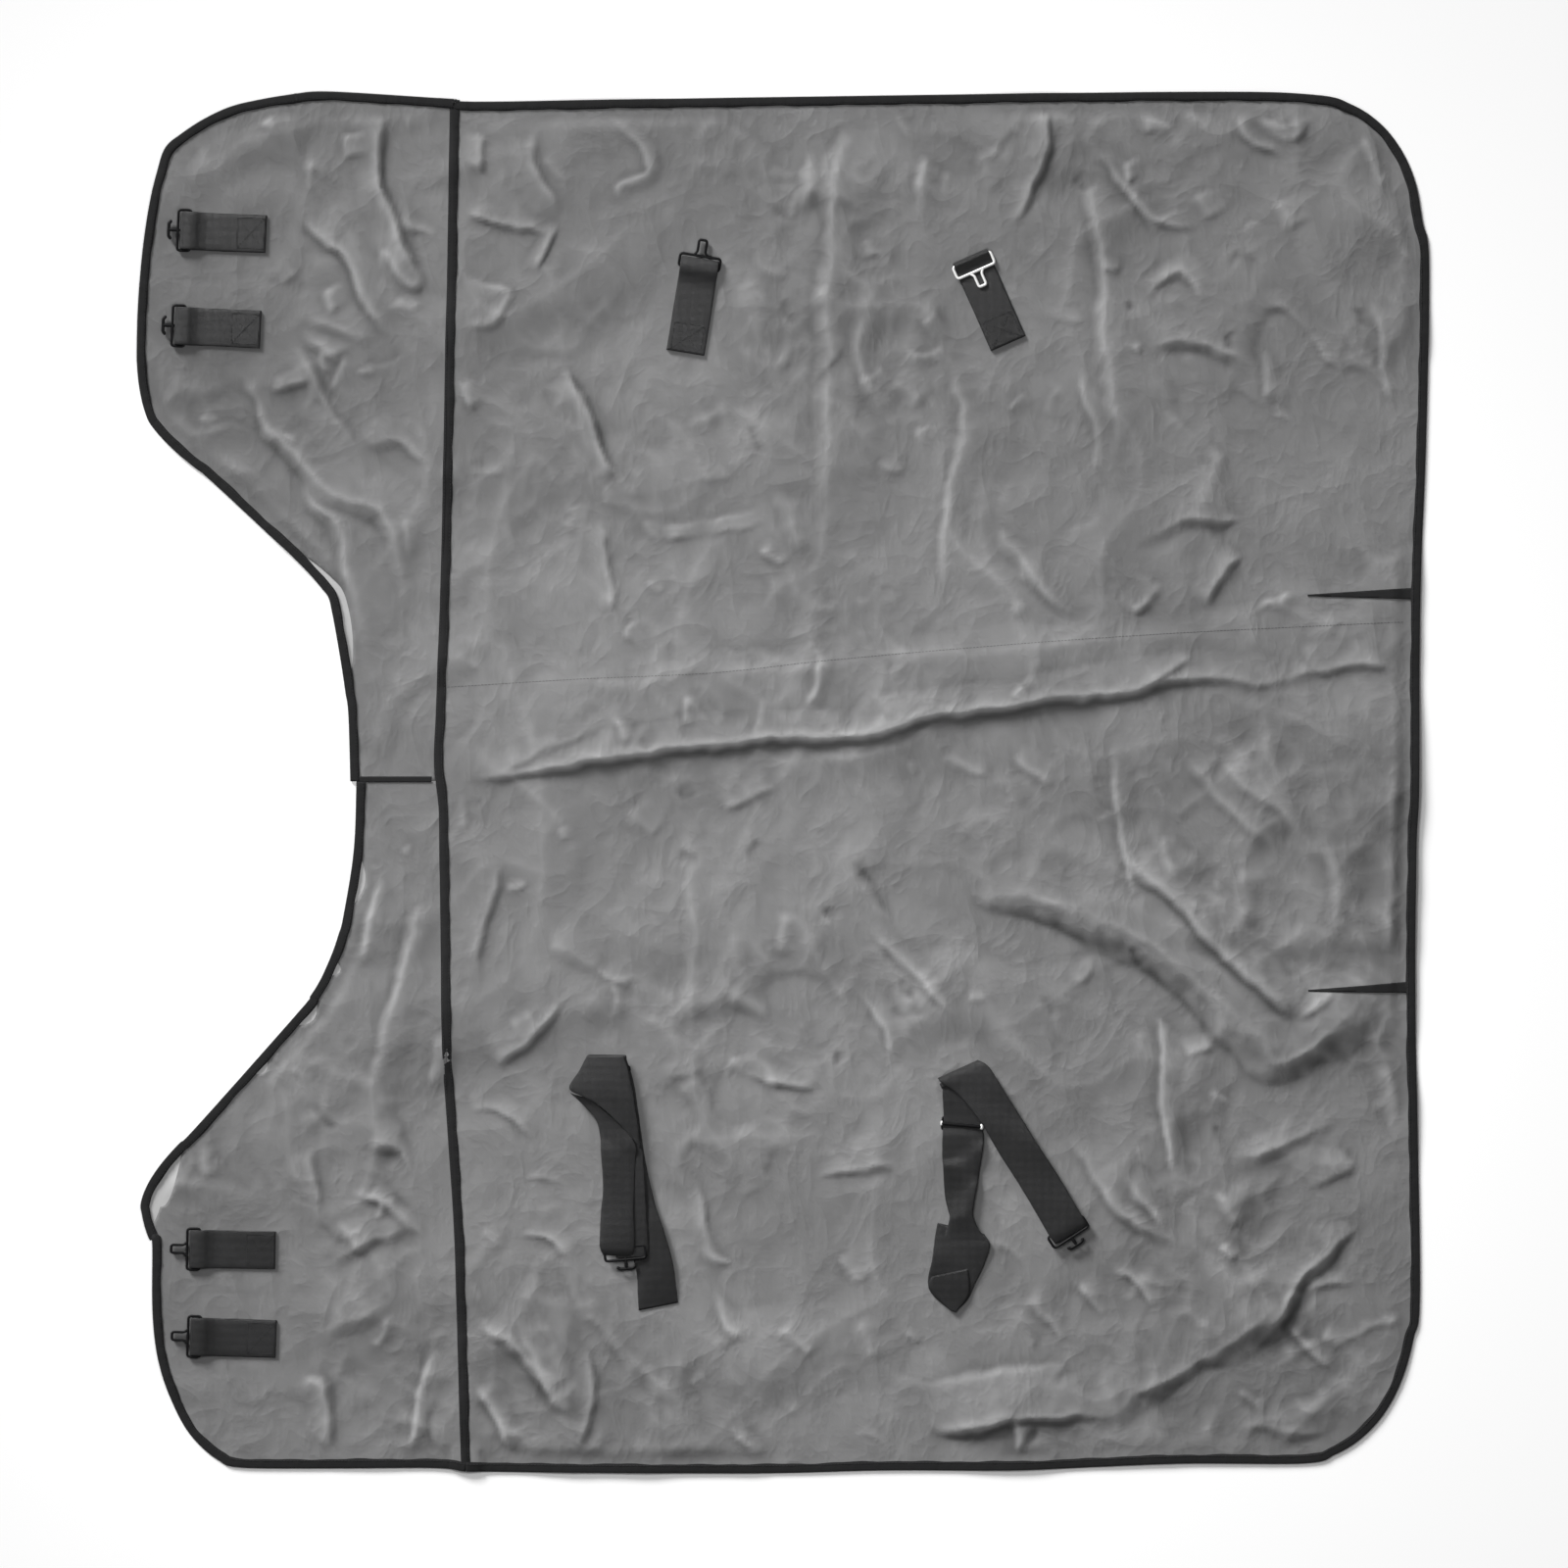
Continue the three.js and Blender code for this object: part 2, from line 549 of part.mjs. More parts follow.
const SURCINGLES = [
  {
    name: 'front',
    fold: new THREE.Vector2(SEAM + 205, -HEM + 568),
    heading: -81.5,
    spread: 2.9,
    baseLength: 346,
    looseLength: 268,
    sliderAt: 18,
  },
  {
    name: 'rear',
    fold: new THREE.Vector2(SEAM + 685, -HEM + 548),
    heading: -76.2,
    spread: -19.1,
    baseLength: 306,
    looseLength: 262,
    sliderAt: 68,
  },
];

// ---- The sheet -----------------------------------------------------------
const sheet = new THREE.Group();
buildHalf(sheet, 'right');
buildHalf(sheet, 'left');
buildWithersTape(sheet);
for (const tab of TABS) {
  buildTab(sheet, tab);
}
for (const strap of SURCINGLES) {
  buildSurcingle(sheet, strap);
}

export default sheet;
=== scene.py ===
import json
import math

import bmesh
import bpy
import numpy as np
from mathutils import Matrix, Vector

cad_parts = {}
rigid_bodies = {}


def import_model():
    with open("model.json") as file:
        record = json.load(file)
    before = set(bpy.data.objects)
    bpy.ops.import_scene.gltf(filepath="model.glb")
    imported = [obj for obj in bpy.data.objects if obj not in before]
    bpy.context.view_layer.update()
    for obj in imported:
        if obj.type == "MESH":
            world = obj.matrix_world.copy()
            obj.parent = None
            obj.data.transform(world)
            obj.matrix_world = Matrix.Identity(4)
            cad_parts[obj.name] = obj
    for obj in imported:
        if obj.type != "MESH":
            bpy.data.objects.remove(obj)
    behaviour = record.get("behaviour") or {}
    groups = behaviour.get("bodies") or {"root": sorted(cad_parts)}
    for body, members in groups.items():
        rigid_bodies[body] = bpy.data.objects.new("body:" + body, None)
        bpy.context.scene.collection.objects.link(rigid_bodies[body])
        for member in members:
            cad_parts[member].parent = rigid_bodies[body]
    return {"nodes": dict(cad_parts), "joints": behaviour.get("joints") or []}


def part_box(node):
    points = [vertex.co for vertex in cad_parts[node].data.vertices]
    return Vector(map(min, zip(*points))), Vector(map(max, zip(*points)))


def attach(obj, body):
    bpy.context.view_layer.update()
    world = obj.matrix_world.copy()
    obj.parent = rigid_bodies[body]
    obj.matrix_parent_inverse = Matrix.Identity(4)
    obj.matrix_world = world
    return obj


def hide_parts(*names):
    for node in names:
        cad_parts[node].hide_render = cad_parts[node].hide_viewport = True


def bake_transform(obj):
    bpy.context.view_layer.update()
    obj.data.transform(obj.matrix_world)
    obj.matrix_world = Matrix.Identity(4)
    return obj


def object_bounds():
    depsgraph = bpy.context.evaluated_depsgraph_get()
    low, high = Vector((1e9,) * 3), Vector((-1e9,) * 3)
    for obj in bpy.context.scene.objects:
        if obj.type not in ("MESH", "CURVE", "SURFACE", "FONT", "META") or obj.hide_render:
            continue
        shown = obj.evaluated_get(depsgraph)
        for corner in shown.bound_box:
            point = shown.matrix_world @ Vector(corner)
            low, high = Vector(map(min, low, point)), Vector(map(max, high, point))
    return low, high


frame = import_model()
cad_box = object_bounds()
nodes = frame["nodes"]
MM = 0.001
rng = np.random.default_rng(41)

# ---------------------------------------------------------------- outlines from the CAD nodes


def outline(node):
    """The anticlockwise outline of a flat node's top face, as an array of (x, y)."""
    mesh = nodes[node].data
    top = max(v.co.z for v in mesh.vertices)
    corner = [(round(v.co.x, 6), round(v.co.y, 6)) for v in mesh.vertices]
    edges = set()
    for face in mesh.polygons:
        if face.normal.z > 0.9 and mesh.vertices[face.vertices[0]].co.z > top - 1e-5:
            ring = list(face.vertices)
            edges.update((corner[a], corner[b]) for a, b in zip(ring, ring[1:] + ring[:1]))
    following = {a: b for a, b in edges if (b, a) not in edges}
    first = next(iter(sorted(following)))
    loop = [first]
    while following[loop[-1]] != first:
        loop.append(following[loop[-1]])
    return np.array(loop)


def opened(loop, axis, at, reach=0.0032):
    """The loop without the edge that runs along axis = at."""
    near = np.abs(loop[:, axis] - at) < reach
    count = len(loop)
    start = next(i for i in range(count) if near[i] and not near[(i + 1) % count])
    chain = [loop[start]]
    i = (start + 1) % count
    while not near[i]:
        chain.append(loop[i])
        i = (i + 1) % count
    chain.append(loop[i])
    return np.array(chain)


def dense(points, step):
    """The same line with a point at least every step metres, evenly spread."""
    points = np.asarray(points, float)
    run = np.concatenate([[0], np.cumsum(np.linalg.norm(np.diff(points, axis=0), axis=1))])
    count = max(2, int(round(run[-1] / step)) + 1)
    at = np.linspace(0, run[-1], count)
    return np.stack([np.interp(at, run, points[:, k]) for k in range(points.shape[1])], axis=1)


def box_centre(node):
    """The middle of a CAD node's box."""
    low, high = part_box(node)
    return (np.array(low) + np.array(high)) / 2


def left_of(direction):
    """The unit vector a quarter turn to the left of a direction on the sheet."""
    return np.array([-direction[1], direction[0]])


FLAP_FOLD = next(j["pos_m"][0] for j in frame["joints"] if j["name"] == "right_flap_fold")
SPINE = 0.0
BINDING_WIDTH = 0.0125
WITHERS_EDGE = {"right": 0.0035, "left": 0.0030}  # where the front parts meet, under the withers tape
HEM_CORNER_TURN = 60  # degrees


def turning(loop):
    """Each corner's change of direction in degrees."""
    before = loop - np.roll(loop, 1, axis=0)
    after = np.roll(loop, -1, axis=0) - loop
    cross = before[:, 0] * after[:, 1] - before[:, 1] * after[:, 0]
    return np.degrees(np.arctan2(cross, (before * after).sum(axis=1)))


def smooth(points, steps=8):
    """A curve through the points, keeping the two ends."""
    points = np.asarray(points, float)
    padded = np.vstack([2 * points[0] - points[1], points, 2 * points[-1] - points[-2]])
    out = []
    for a, b, c, d in zip(padded, padded[1:], padded[2:], padded[3:]):
        for k in range(steps):
            t = k / steps
            out.append(0.5 * (2 * b + (c - a) * t + (2 * a - 5 * b + 4 * c - d) * t * t
                              + (3 * b - a - 3 * c + d) * t ** 3))
    out.append(points[-1])
    return np.array(out)


def between(loop, first, last):
    """The part of a closed loop from one index round to another."""
    if last < first:
        last += len(loop)
    return np.array([loop[i % len(loop)] for i in range(first, last + 1)])


def joined(node_a, node_b, axis, at):
    """One outline from two that face each other across the line axis = at."""
    a, b = opened(outline(node_a), axis, at), opened(outline(node_b), axis, at)
    return np.vstack([(a[0] + b[-1]) / 2, a[1:-1], (a[-1] + b[0]) / 2, b[1:-1]])


# How the edges lie off the cut line, as place along the edge and shift in mm.
UPPER_HEM = ((-840, 0), (-758, 7), (-700, 3), (-550, 0), (-456, -5), (-406, -9), (-355, -5), (-200, -1),
             (0, -2), (100, 3), (300, 3), (450, 0), (550, -4), (760, -5))
LOWER_HEM = ((-809, -8), (-758, 0), (-700, 5), (-607, 1), (-500, 4), (-406, 1), (-340, 8), (-204, 11),
             (-60, 7), (20, 0), (150, 1), (260, 8), (350, 7), (451, 0), (501, 5), (760, 4))
TAIL_HEM = ((-825, -5), (-690, -1), (-573, -2), (-472, -7), (-371, -4), (-230, -5), (-100, -8), (-19, -14),
            (82, -8), (150, -1), (233, -7), (284, -4), (360, 0), (586, -4), (688, -1), (737, -7), (838, -3))
NECK_HEM = ((-422, 0), (-371, 10), (-321, 8), (-270, 10), (-220, 7), (-170, 2), (-69, 6), (30, 3), (230, 3),
            (300, 1))
HEM_FROM = 780  # mm from the spine, where a shift along a hem begins
TAIL_FROM = 700  # mm along X, where a shift along the tail begins
SHIFT_EASE = 90  # mm over which a shift comes in
NECK_UP_TO = -480
NECK_HALF = 430


def as_laid(loop):
    """The outline with its edges shifted to where they lie."""
    x, y = loop[:, 0] / MM, loop[:, 1] / MM
    upper = np.interp(x, *np.transpose(UPPER_HEM)) * np.clip((y - HEM_FROM) / SHIFT_EASE, 0, 1)
    lower = np.interp(x, *np.transpose(LOWER_HEM)) * np.clip((-y - HEM_FROM) / SHIFT_EASE, 0, 1)
    tail = np.interp(y, *np.transpose(TAIL_HEM)) * np.clip((x - TAIL_FROM) / SHIFT_EASE, 0, 1)
    neck = np.interp(y, *np.transpose(NECK_HEM)) * ((x < NECK_UP_TO) & (np.abs(y) < NECK_HALF))
    return loop + np.column_stack([tail + neck, upper + lower]) * MM


body_loop = as_laid(joined("right_body_panel", "left_body_panel", 1, SPINE))
body_turns = turning(body_loop)
right_hem_corner = int(np.argmax(np.where(body_loop[:, 1] > 0.5, body_turns, 0)))
left_hem_corner = int(np.argmax(np.where(body_loop[:, 1] < -0.5, body_turns, 0)))
body_hem = smooth(between(body_loop, left_hem_corner, right_hem_corner))
seam = between(body_loop, right_hem_corner, left_hem_corner)
body_outline = np.vstack([body_hem[:-1], seam[:-1]])

front_hem = {}
front_outline = {}
for side in ("right", "left"):
    loop = as_laid(joined(side + "_front_panel", side + "_chest_flap", 0, FLAP_FOLD))
    loop[np.abs(loop[:, 1]) < 0.003, 1] = WITHERS_EDGE[side]
    corners = np.where(turning(loop) > HEM_CORNER_TURN)[0]
    at_spine = [i for i in corners if abs(loop[i][1]) < 0.01]
    neck = min(at_spine, key=lambda i: loop[i][0])
    hem = max(corners, key=lambda i: abs(loop[i][1]))
    if side == "right":
        front_hem[side] = smooth(between(loop, hem, neck))
        rest = between(loop, neck, hem)
    else:
        front_hem[side] = smooth(between(loop, neck, hem))
        rest = between(loop, hem, neck)
    front_outline[side] = np.vstack([front_hem[side][:-1], rest[:-1]])

# Where the outer cloth has slipped out of the neck binding: middle, half length and depth, along Y in mm.
SLIPS = ((225, 105, 9), (-130, 42, 7), (-246, 13, 6), (-305, 20, 8), (-376, 14, 6), (-545, 62, 21))
SLIP_PITCH = 0.004


def slipped(loop):
    """The outline pulled back from the neck binding at the slips."""
    loop = dense(np.vstack([loop, loop[:1]]), SLIP_PITCH)[:-1]
    tangent = np.roll(loop, -1, axis=0) - np.roll(loop, 1, axis=0)
    tangent /= np.linalg.norm(tangent, axis=1)[:, None]
    inner = np.column_stack([-tangent[:, 1], tangent[:, 0]])
    depth = np.zeros(len(loop))
    on_neck = (loop[:, 0] < -0.56) & (np.abs(loop[:, 1]) < 0.61)
    for middle, half, size in SLIPS:
        away = np.abs(loop[:, 1] / MM - middle) / half
        shape = np.clip(np.cos(np.clip(away, 0, 1) * math.pi / 2), 0, 1) ** 0.8
        depth = np.maximum(depth, shape * (size * MM + BINDING_WIDTH))
    return loop + inner * (depth * on_neck)[:, None]


# ---------------------------------------------------------------- the relief of the laid cloth

CELL = 0.002
MARGIN = 0.02
low, high = np.array(cad_box[0]), np.array(cad_box[1])
grid_x = np.arange(low[0] - MARGIN, high[0] + MARGIN, CELL)
grid_y = np.arange(low[1] - MARGIN, high[1] + MARGIN, CELL)
GX, GY = np.meshgrid(grid_x, grid_y, indexing="ij")


def soft_noise(length, stretch=(1, 1)):
    """A smooth random field with features about length metres across, spread one."""
    kx = np.fft.fftfreq(len(grid_x), CELL)[:, None] * length * stretch[0]
    ky = np.fft.fftfreq(len(grid_y), CELL)[None, :] * length * stretch[1]
    white = np.fft.fft2(rng.standard_normal(GX.shape))
    field = np.real(np.fft.ifft2(white * np.exp(-6 * (kx * kx + ky * ky))))
    return (field - field.mean()) / field.std()


def blurred(field, radius):
    """The field with detail under about radius metres smoothed away."""
    kx = np.fft.fftfreq(field.shape[0], CELL)[:, None] * radius
    ky = np.fft.fftfreq(field.shape[1], CELL)[None, :] * radius
    return np.real(np.fft.ifft2(np.fft.fft2(field) * np.exp(-2 * math.pi ** 2 * (kx * kx + ky * ky))))


def sampled(field, xy):
    """The field at points (x, y), between cells by straight lines."""
    u = (np.asarray(xy)[..., 0] - grid_x[0]) / CELL
    v = (np.asarray(xy)[..., 1] - grid_y[0]) / CELL
    i = np.clip(u.astype(int), 0, field.shape[0] - 2)
    j = np.clip(v.astype(int), 0, field.shape[1] - 2)
    s, t = u - i, v - j
    return (field[i, j] * (1 - s) * (1 - t) + field[i + 1, j] * s * (1 - t)
            + field[i, j + 1] * (1 - s) * t + field[i + 1, j + 1] * s * t)


def near_line(points, reach):
    """How close each cell is to a line: 1 on it, 0 at reach metres, smooth between."""
    near = np.zeros_like(GX)
    half = int(reach / CELL) + 1
    span = np.arange(-half, half + 1) * CELL
    distance = np.hypot(*np.meshgrid(span, span, indexing="ij"))
    stamp = np.clip(1 - distance / reach, 0, 1)
    for x, y in dense(points, CELL * 1.5):
        i = int(round((x - grid_x[0]) / CELL))
        j = int(round((y - grid_y[0]) / CELL))
        a, b = max(i - half, 0), min(i + half + 1, near.shape[0])
        c, d = max(j - half, 0), min(j + half + 1, near.shape[1])
        part = stamp[a - i + half:b - i + half, c - j + half:d - j + half]
        near[a:b, c:d] = np.maximum(near[a:b, c:d], part)
    return near


def eased(t):
    """A smooth step from 0 to 1."""
    t = np.clip(t, 0, 1)
    return t * t * (3 - 2 * t)


# The grid with its places shifted a little, so that folds wander.
WX = GX + 0.004 * soft_noise(0.05) + 0.0012 * soft_noise(0.014)
WY = GY + 0.004 * soft_noise(0.05) + 0.0012 * soft_noise(0.014)

FOLD_GAIN = 1.6
GENTLE = 2.3  # how much wider a fold's easy side is than its table width
STEEP = 0.85
BIG_FOLD = 6.5  # mm; folds this high keep a broad steep side
BIG_STEEP = 1.7
TAPER = 0.28  # share of a fold's length over which each end fades
FOLD_REACH = 3.2
TENT_REACH = 1.9
TENT_SHARE = 0.65


def raise_fold(field, height, left, right, points):
    """Adds a ridge along points (mm), with its own width (mm) on each side; under zero it is a valley."""
    line = smooth(np.array(points) * MM, 4)
    reach = FOLD_REACH * max(left, right) * MM
    a, b = np.searchsorted(grid_x, [line[:, 0].min() - reach, line[:, 0].max() + reach])
    c, d = np.searchsorted(grid_y, [line[:, 1].min() - reach, line[:, 1].max() + reach])
    x, y = WX[a:b, c:d], WY[a:b, c:d]
    best = np.full(x.shape, np.inf)
    side = np.zeros(x.shape)
    along = np.zeros(x.shape)
    total = len(line) - 1
    for k, (p, q) in enumerate(zip(line, line[1:])):
        step = q - p
        span = step @ step + 1e-12
        t = np.clip(((x - p[0]) * step[0] + (y - p[1]) * step[1]) / span, 0, 1)
        dx, dy = x - p[0] - t * step[0], y - p[1] - t * step[1]
        distance = np.hypot(dx, dy)
        closer = distance < best
        best = np.where(closer, distance, best)
        side = np.where(closer, step[0] * dy - step[1] * dx, side)
        along = np.where(closer, (k + t) / total, along)
    width = np.where(side > 0, left, right) * MM
    taper = eased(along / TAPER) * eased((1 - along) / TAPER)
    tent = np.clip(1 - best / (TENT_REACH * width), 0, 1)
    crest = np.exp(-(best / width) ** 1.5)
    shape = TENT_SHARE * tent + (1 - TENT_SHARE) * crest
    field[a:b, c:d] += FOLD_GAIN * height * MM * taper * shape


# Folds of the cloth as it lies: height, width to the left, width to the right and points, in mm.
FOLDS = (
    (3.6, 22, 50, [(-457, 127), (-273, 137), (-111, 150), (44, 162), (265, 180), (530, 196), (849, 212)]),
    (6.4, 9, 6, [(-461, 4), (-398, 16), (-308, 27), (-231, 38), (-139, 50), (-37, 60), (53, 66), (265, 97),
                 (464, 127), (663, 148), (849, 163)]),
    (2.0, 4, 4, [(-225, 90), (-224, 56)]),
    (1.6, 4, 4, [(-133, 117), (-134, 74)]),
    (2.4, 5, 5, [(48, 186), (40, 103)]),
    (1.8, 10, 5, [(-398, 16), (-318, 53), (-232, 86)]),
    (2.2, 6, 5, [(484, 126), (557, 170)]),
    (3.0, 8, 6, [(683, 146), (756, 164), (822, 156)]),
    (2.2, 4, 4, [(-249, 912), (-186, 842), (-229, 819), (-225, 789)]),
    (2.6, 5, 7, [(-408, 882), (-422, 819)]),
    (2.4, 5, 9, [(-335, 891), (-331, 829), (-310, 762)]),
    (2.6, 3, 5, [(-310, 762), (-342, 683)]),
    (2.6, 5, 4, [(-440, 769), (-391, 758), (-312, 748)]),
    (4.0, 4, 9, [(-294, 583), (-272, 517), (-249, 444), (-223, 415)]),
    (2.0, 4, 6, [(-252, 365), (-236, 278), (-239, 232)]),
    (2.2, 5, 4, [(-241, 631), (-152, 647), (-73, 663), (-33, 671)]),
    (2.0, 5, 5, [(-95, 745), (-46, 676)]),
    (5.0, 20, 14, [(99, 921), (69, 829), (61, 716), (62, 610), (68, 477), (46, 245)]),
    (3.0, 14, 12, [(33, 904), (27, 776)]),
    (3.2, 8, 8, [(194, 862), (180, 748)]),
    (2.0, 7, 7, [(228, 849), (212, 753)]),
    (2.4, 7, 7, [(106, 643), (99, 570), (139, 491)]),
    (2.0, 10, 10, [(106, 745), (119, 713)]),
    (2.0, 12, 10, [(139, 550), (199, 510)]),
    (2.0, 5, 6, [(-443, 683), (-379, 663), (-398, 616), (-440, 613)]),
    (2.6, 5, 5, [(-438, 549), (-416, 506)]),
    (1.8, 14, 14, [(-146, 361), (-143, 329)]),
    (1.8, 14, 14, [(-82, 366), (-77, 334)]),
    (2.0, 12, 12, [(-133, 530), (-95, 477)]),
    (2.2, 12, 12, [(0, 398), (20, 305)]),
    (1.8, 5, 5, [(-37, 318), (0, 292)]),
    (3.6, 4, 8, [(353, 925), (347, 855), (325, 795), (297, 734)]),
    (2.6, 5, 5, [(424, 859), (464, 809), (517, 766), (567, 749)]),
    (2.2, 5, 5, [(464, 842), (475, 809)]),
    (2.4, 4, 4, [(601, 904), (636, 868), (689, 846)]),
    (1.8, 5, 5, [(650, 886), (692, 867), (719, 891)]),
    (4.0, 16, 11, [(408, 862), (430, 709), (438, 557), (440, 398)]),
    (2.0, 5, 4, [(398, 570), (414, 477), (424, 387)]),
    (2.4, 6, 6, [(236, 590), (239, 477), (228, 345), (217, 249)]),
    (1.8, 4, 4, [(331, 634), (411, 628)]),
    (2.6, 6, 6, [(493, 658), (536, 693), (573, 660)]),
    (2.2, 6, 6, [(636, 626), (674, 644), (709, 610), (737, 570), (772, 541)]),
    (4.0, 18, 9, [(484, 581), (559, 603), (643, 567)]),
    (-5.0, 22, 16, [(493, 567), (583, 484), (663, 424), (795, 371)]),
    (2.6, 4, 4, [(650, 495), (689, 501), (732, 448), (785, 375)]),
    (2.0, 8, 8, [(652, 603), (658, 517)]),
    (3.6, 16, 8, [(451, 323), (557, 361), (650, 353), (737, 284)]),
    (2.8, 8, 5, [(557, 236), (586, 278), (613, 329)]),
    (3.0, 10, 8, [(285, 369), (308, 318), (353, 269), (408, 223)]),
    (2.0, 6, 6, [(772, 886), (798, 811)]),
    (2.0, 8, 6, [(464, 223), (504, 278)]),
    (1.8, 6, 5, [(700, 256), (650, 249), (613, 217)]),
    (1.6, 10, 10, [(265, 862), (278, 795)]),
    (1.8, 9, 9, [(663, 789), (687, 742)]),
    (1.6, 8, 8, [(559, 798), (581, 758)]),
    (1.8, 8, 6, [(798, 663), (811, 583), (809, 477)]),
    (2.6, 5, 9, [(-387, -103), (-406, -172), (-416, -276)]),
    (3.4, 9, 5, [(-398, -387), (-350, -347), (-294, -281)]),
    (2.4, 12, 12, [(-135, -50), (-127, -133), (-125, -252), (-117, -387)]),
    (3.0, 6, 4, [(-73, -381), (-13, -403), (46, -419)]),
    (-3.4, 12, 9, [(90, -103), (133, -152), (188, -186)]),
    (2.4, 5, 5, [(106, -186), (186, -263), (241, -318)]),
    (2.0, 9, 6, [(-82, -32), (-7, -5)]),
    (1.8, 14, 12, [(-212, -42), (-170, -66)]),
    (2.0, 5, 6, [(-438, -4), (-422, -69)]),
    (2.0, 10, 10, [(-318, -219), (-239, -245)]),
    (1.6, 6, 5, [(-252, -245), (-212, -281)]),
    (1.8, 8, 8, [(-73, -292), (-16, -318)]),
    (2.6, 6, 5, [(86, -272), (139, -331), (166, -378)]),
    (2.0, 7, 7, [(3, -172), (0, -245)]),
    (10.0, 26, 11, [(166, -166), (285, -146), (384, -162), (497, -220), (583, -294), (670, -371),
                    (732, -347), (790, -294), (829, -232)]),
    (-4.0, 14, 16, [(152, -192), (285, -180), (378, -207), (484, -265), (573, -342), (663, -424)]),
    (6.0, 14, 7, [(438, -90), (504, -130), (583, -209), (660, -300), (692, -323)]),
    (3.0, 7, 6, [(689, -323), (750, -284)]),
    (3.2, 6, 4, [(504, -278), (509, -345), (520, -480), (530, -537)]),
    (2.4, 7, 5, [(444, 69), (453, -80), (485, -156)]),
    (2.2, 9, 7, [(530, 53), (597, -27), (663, -93)]),
    (2.0, 8, 6, [(583, 40), (703, -80)]),
    (2.4, 10, 10, [(623, -106), (630, -199)]),
    (1.8, 5, 5, [(537, -369), (586, -355)]),
    (2.2, 8, 8, [(504, -66), (530, -133)]),
    (2.0, 6, 6, [(305, 40), (365, 0)]),
    (2.0, 6, 6, [(219, 33), (281, 11)]),
    (5.0, 60, 55, [(723, 93), (736, -133), (729, -245)]),
    (2.4, 9, 9, [(742, -80), (750, -212)]),
    (3.2, 6, 5, [(-445, -445), (-384, -438), (-329, -485)]),
    (2.8, 6, 5, [(-379, -538), (-323, -526), (-249, -545)]),
    (2.8, 6, 5, [(-374, -610), (-323, -615), (-281, -647)]),
    (4.4, 10, 7, [(-419, -724), (-358, -761), (-289, -851)]),
    (3.0, 7, 5, [(-361, -727), (-329, -790), (-286, -849)]),
    (4.0, 7, 6, [(-419, -806), (-387, -849), (-361, -917)]),
    (2.6, 5, 6, [(-264, -745), (-268, -829), (-285, -899)]),
    (3.0, 20, 12, [(-292, -732), (-249, -729), (-180, -793), (-117, -849)]),
    (3.2, 5, 6, [(-121, -508), (-111, -597), (-80, -642), (-11, -666)]),
    (2.6, 5, 5, [(-99, -660), (-85, -723), (-42, -753)]),
    (2.8, 9, 6, [(16, -538), (93, -524), (156, -524), (212, -552)]),
    (2.4, 5, 5, [(-73, -868), (-24, -917)]),
    (3.0, 10, 6, [(50, -888), (106, -883), (162, -911)]),
    (3.4, 12, 6, [(180, -886), (252, -875), (313, -862)]),
    (2.4, 5, 4, [(313, -862), (318, -915)]),
    (2.0, 9, 8, [(0, -583), (46, -650)]),
    (2.0, 8, 8, [(66, -623), (106, -676)]),
    (1.8, 8, 8, [(-13, -729), (40, -769)]),
    (1.8, 5, 5, [(166, -742), (192, -766)]),
    (2.0, 9, 9, [(93, -729), (133, -795)]),
    (2.0, 8, 7, [(-212, -703), (-175, -745)]),
    (3.6, 10, 6, [(378, -464), (418, -524), (464, -577), (559, -634)]),
    (3.0, 6, 5, [(457, -525), (520, -602)]),
    (2.8, 7, 5, [(265, -602), (305, -623), (339, -666)]),
    (2.6, 7, 5, [(398, -674), (438, -732)]),
    (3.0, 8, 5, [(443, -655), (485, -671), (512, -719)]),
    (2.4, 8, 5, [(318, -696), (358, -723), (387, -766)]),
    (8.0, 30, 9, [(424, -856), (517, -798), (613, -745), (679, -684)]),
    (7.0, 18, 5, [(613, -785), (674, -713), (695, -666), (756, -623), (833, -570)]),
    (-3.0, 12, 8, [(139, -806), (265, -790), (440, -761)]),
    (4.5, 16, 6, [(179, -878), (312, -862), (464, -841)]),
    (3.0, 5, 5, [(683, -723), (750, -798)]),
    (3.0, 10, 7, [(692, -687), (749, -674), (811, -687)]),
    (2.6, 8, 8, [(723, -769), (795, -732), (849, -723)]),
    (4.0, 16, 12, [(597, -504), (689, -488), (789, -438)]),
    (3.0, 14, 9, [(590, -878), (663, -864), (753, -880)]),
    (2.0, 6, 6, [(607, -819), (650, -849)]),
    (2.2, 5, 4, [(583, -623), (605, -647)]),
    (2.4, 8, 8, [(583, -544), (613, -597)]),
    (3.0, 12, 12, [(703, -557), (782, -504)]),
    (2.0, 7, 7, [(769, -663), (835, -650)]),
    (4.4, 5, 9, [(-546, 921), (-544, 835), (-530, 766), (-483, 660)]),
    (2.6, 5, 5, [(-524, 766), (-461, 740)]),
    (3.0, 10, 6, [(-546, 742), (-514, 683), (-488, 668)]),
    (4.4, 9, 6, [(-711, 801), (-663, 777), (-610, 719), (-562, 650), (-514, 594)]),
    (3.4, 9, 8, [(-809, 705), (-748, 689), (-687, 642), (-610, 618), (-520, 593)]),
    (2.8, 7, 8, [(-697, 631), (-636, 538), (-575, 443)]),
    (5.2, 16, 11, [(-764, 586), (-711, 517), (-668, 451), (-602, 391), (-541, 343), (-491, 223)]),
    (3.0, 6, 6, [(-681, 917), (-703, 880)]),
    (2.6, 7, 7, [(-587, 880), (-583, 838)]),
    (2.2, 7, 7, [(-578, 451), (-517, 464), (-469, 432)]),
    (4.0, 10, 9, [(-655, 424), (-615, 358), (-602, 292), (-589, 231)]),
    (2.2, 5, 5, [(-700, 530), (-636, 533)]),
    (2.0, 12, 12, [(-650, 842), (-597, 825)]),
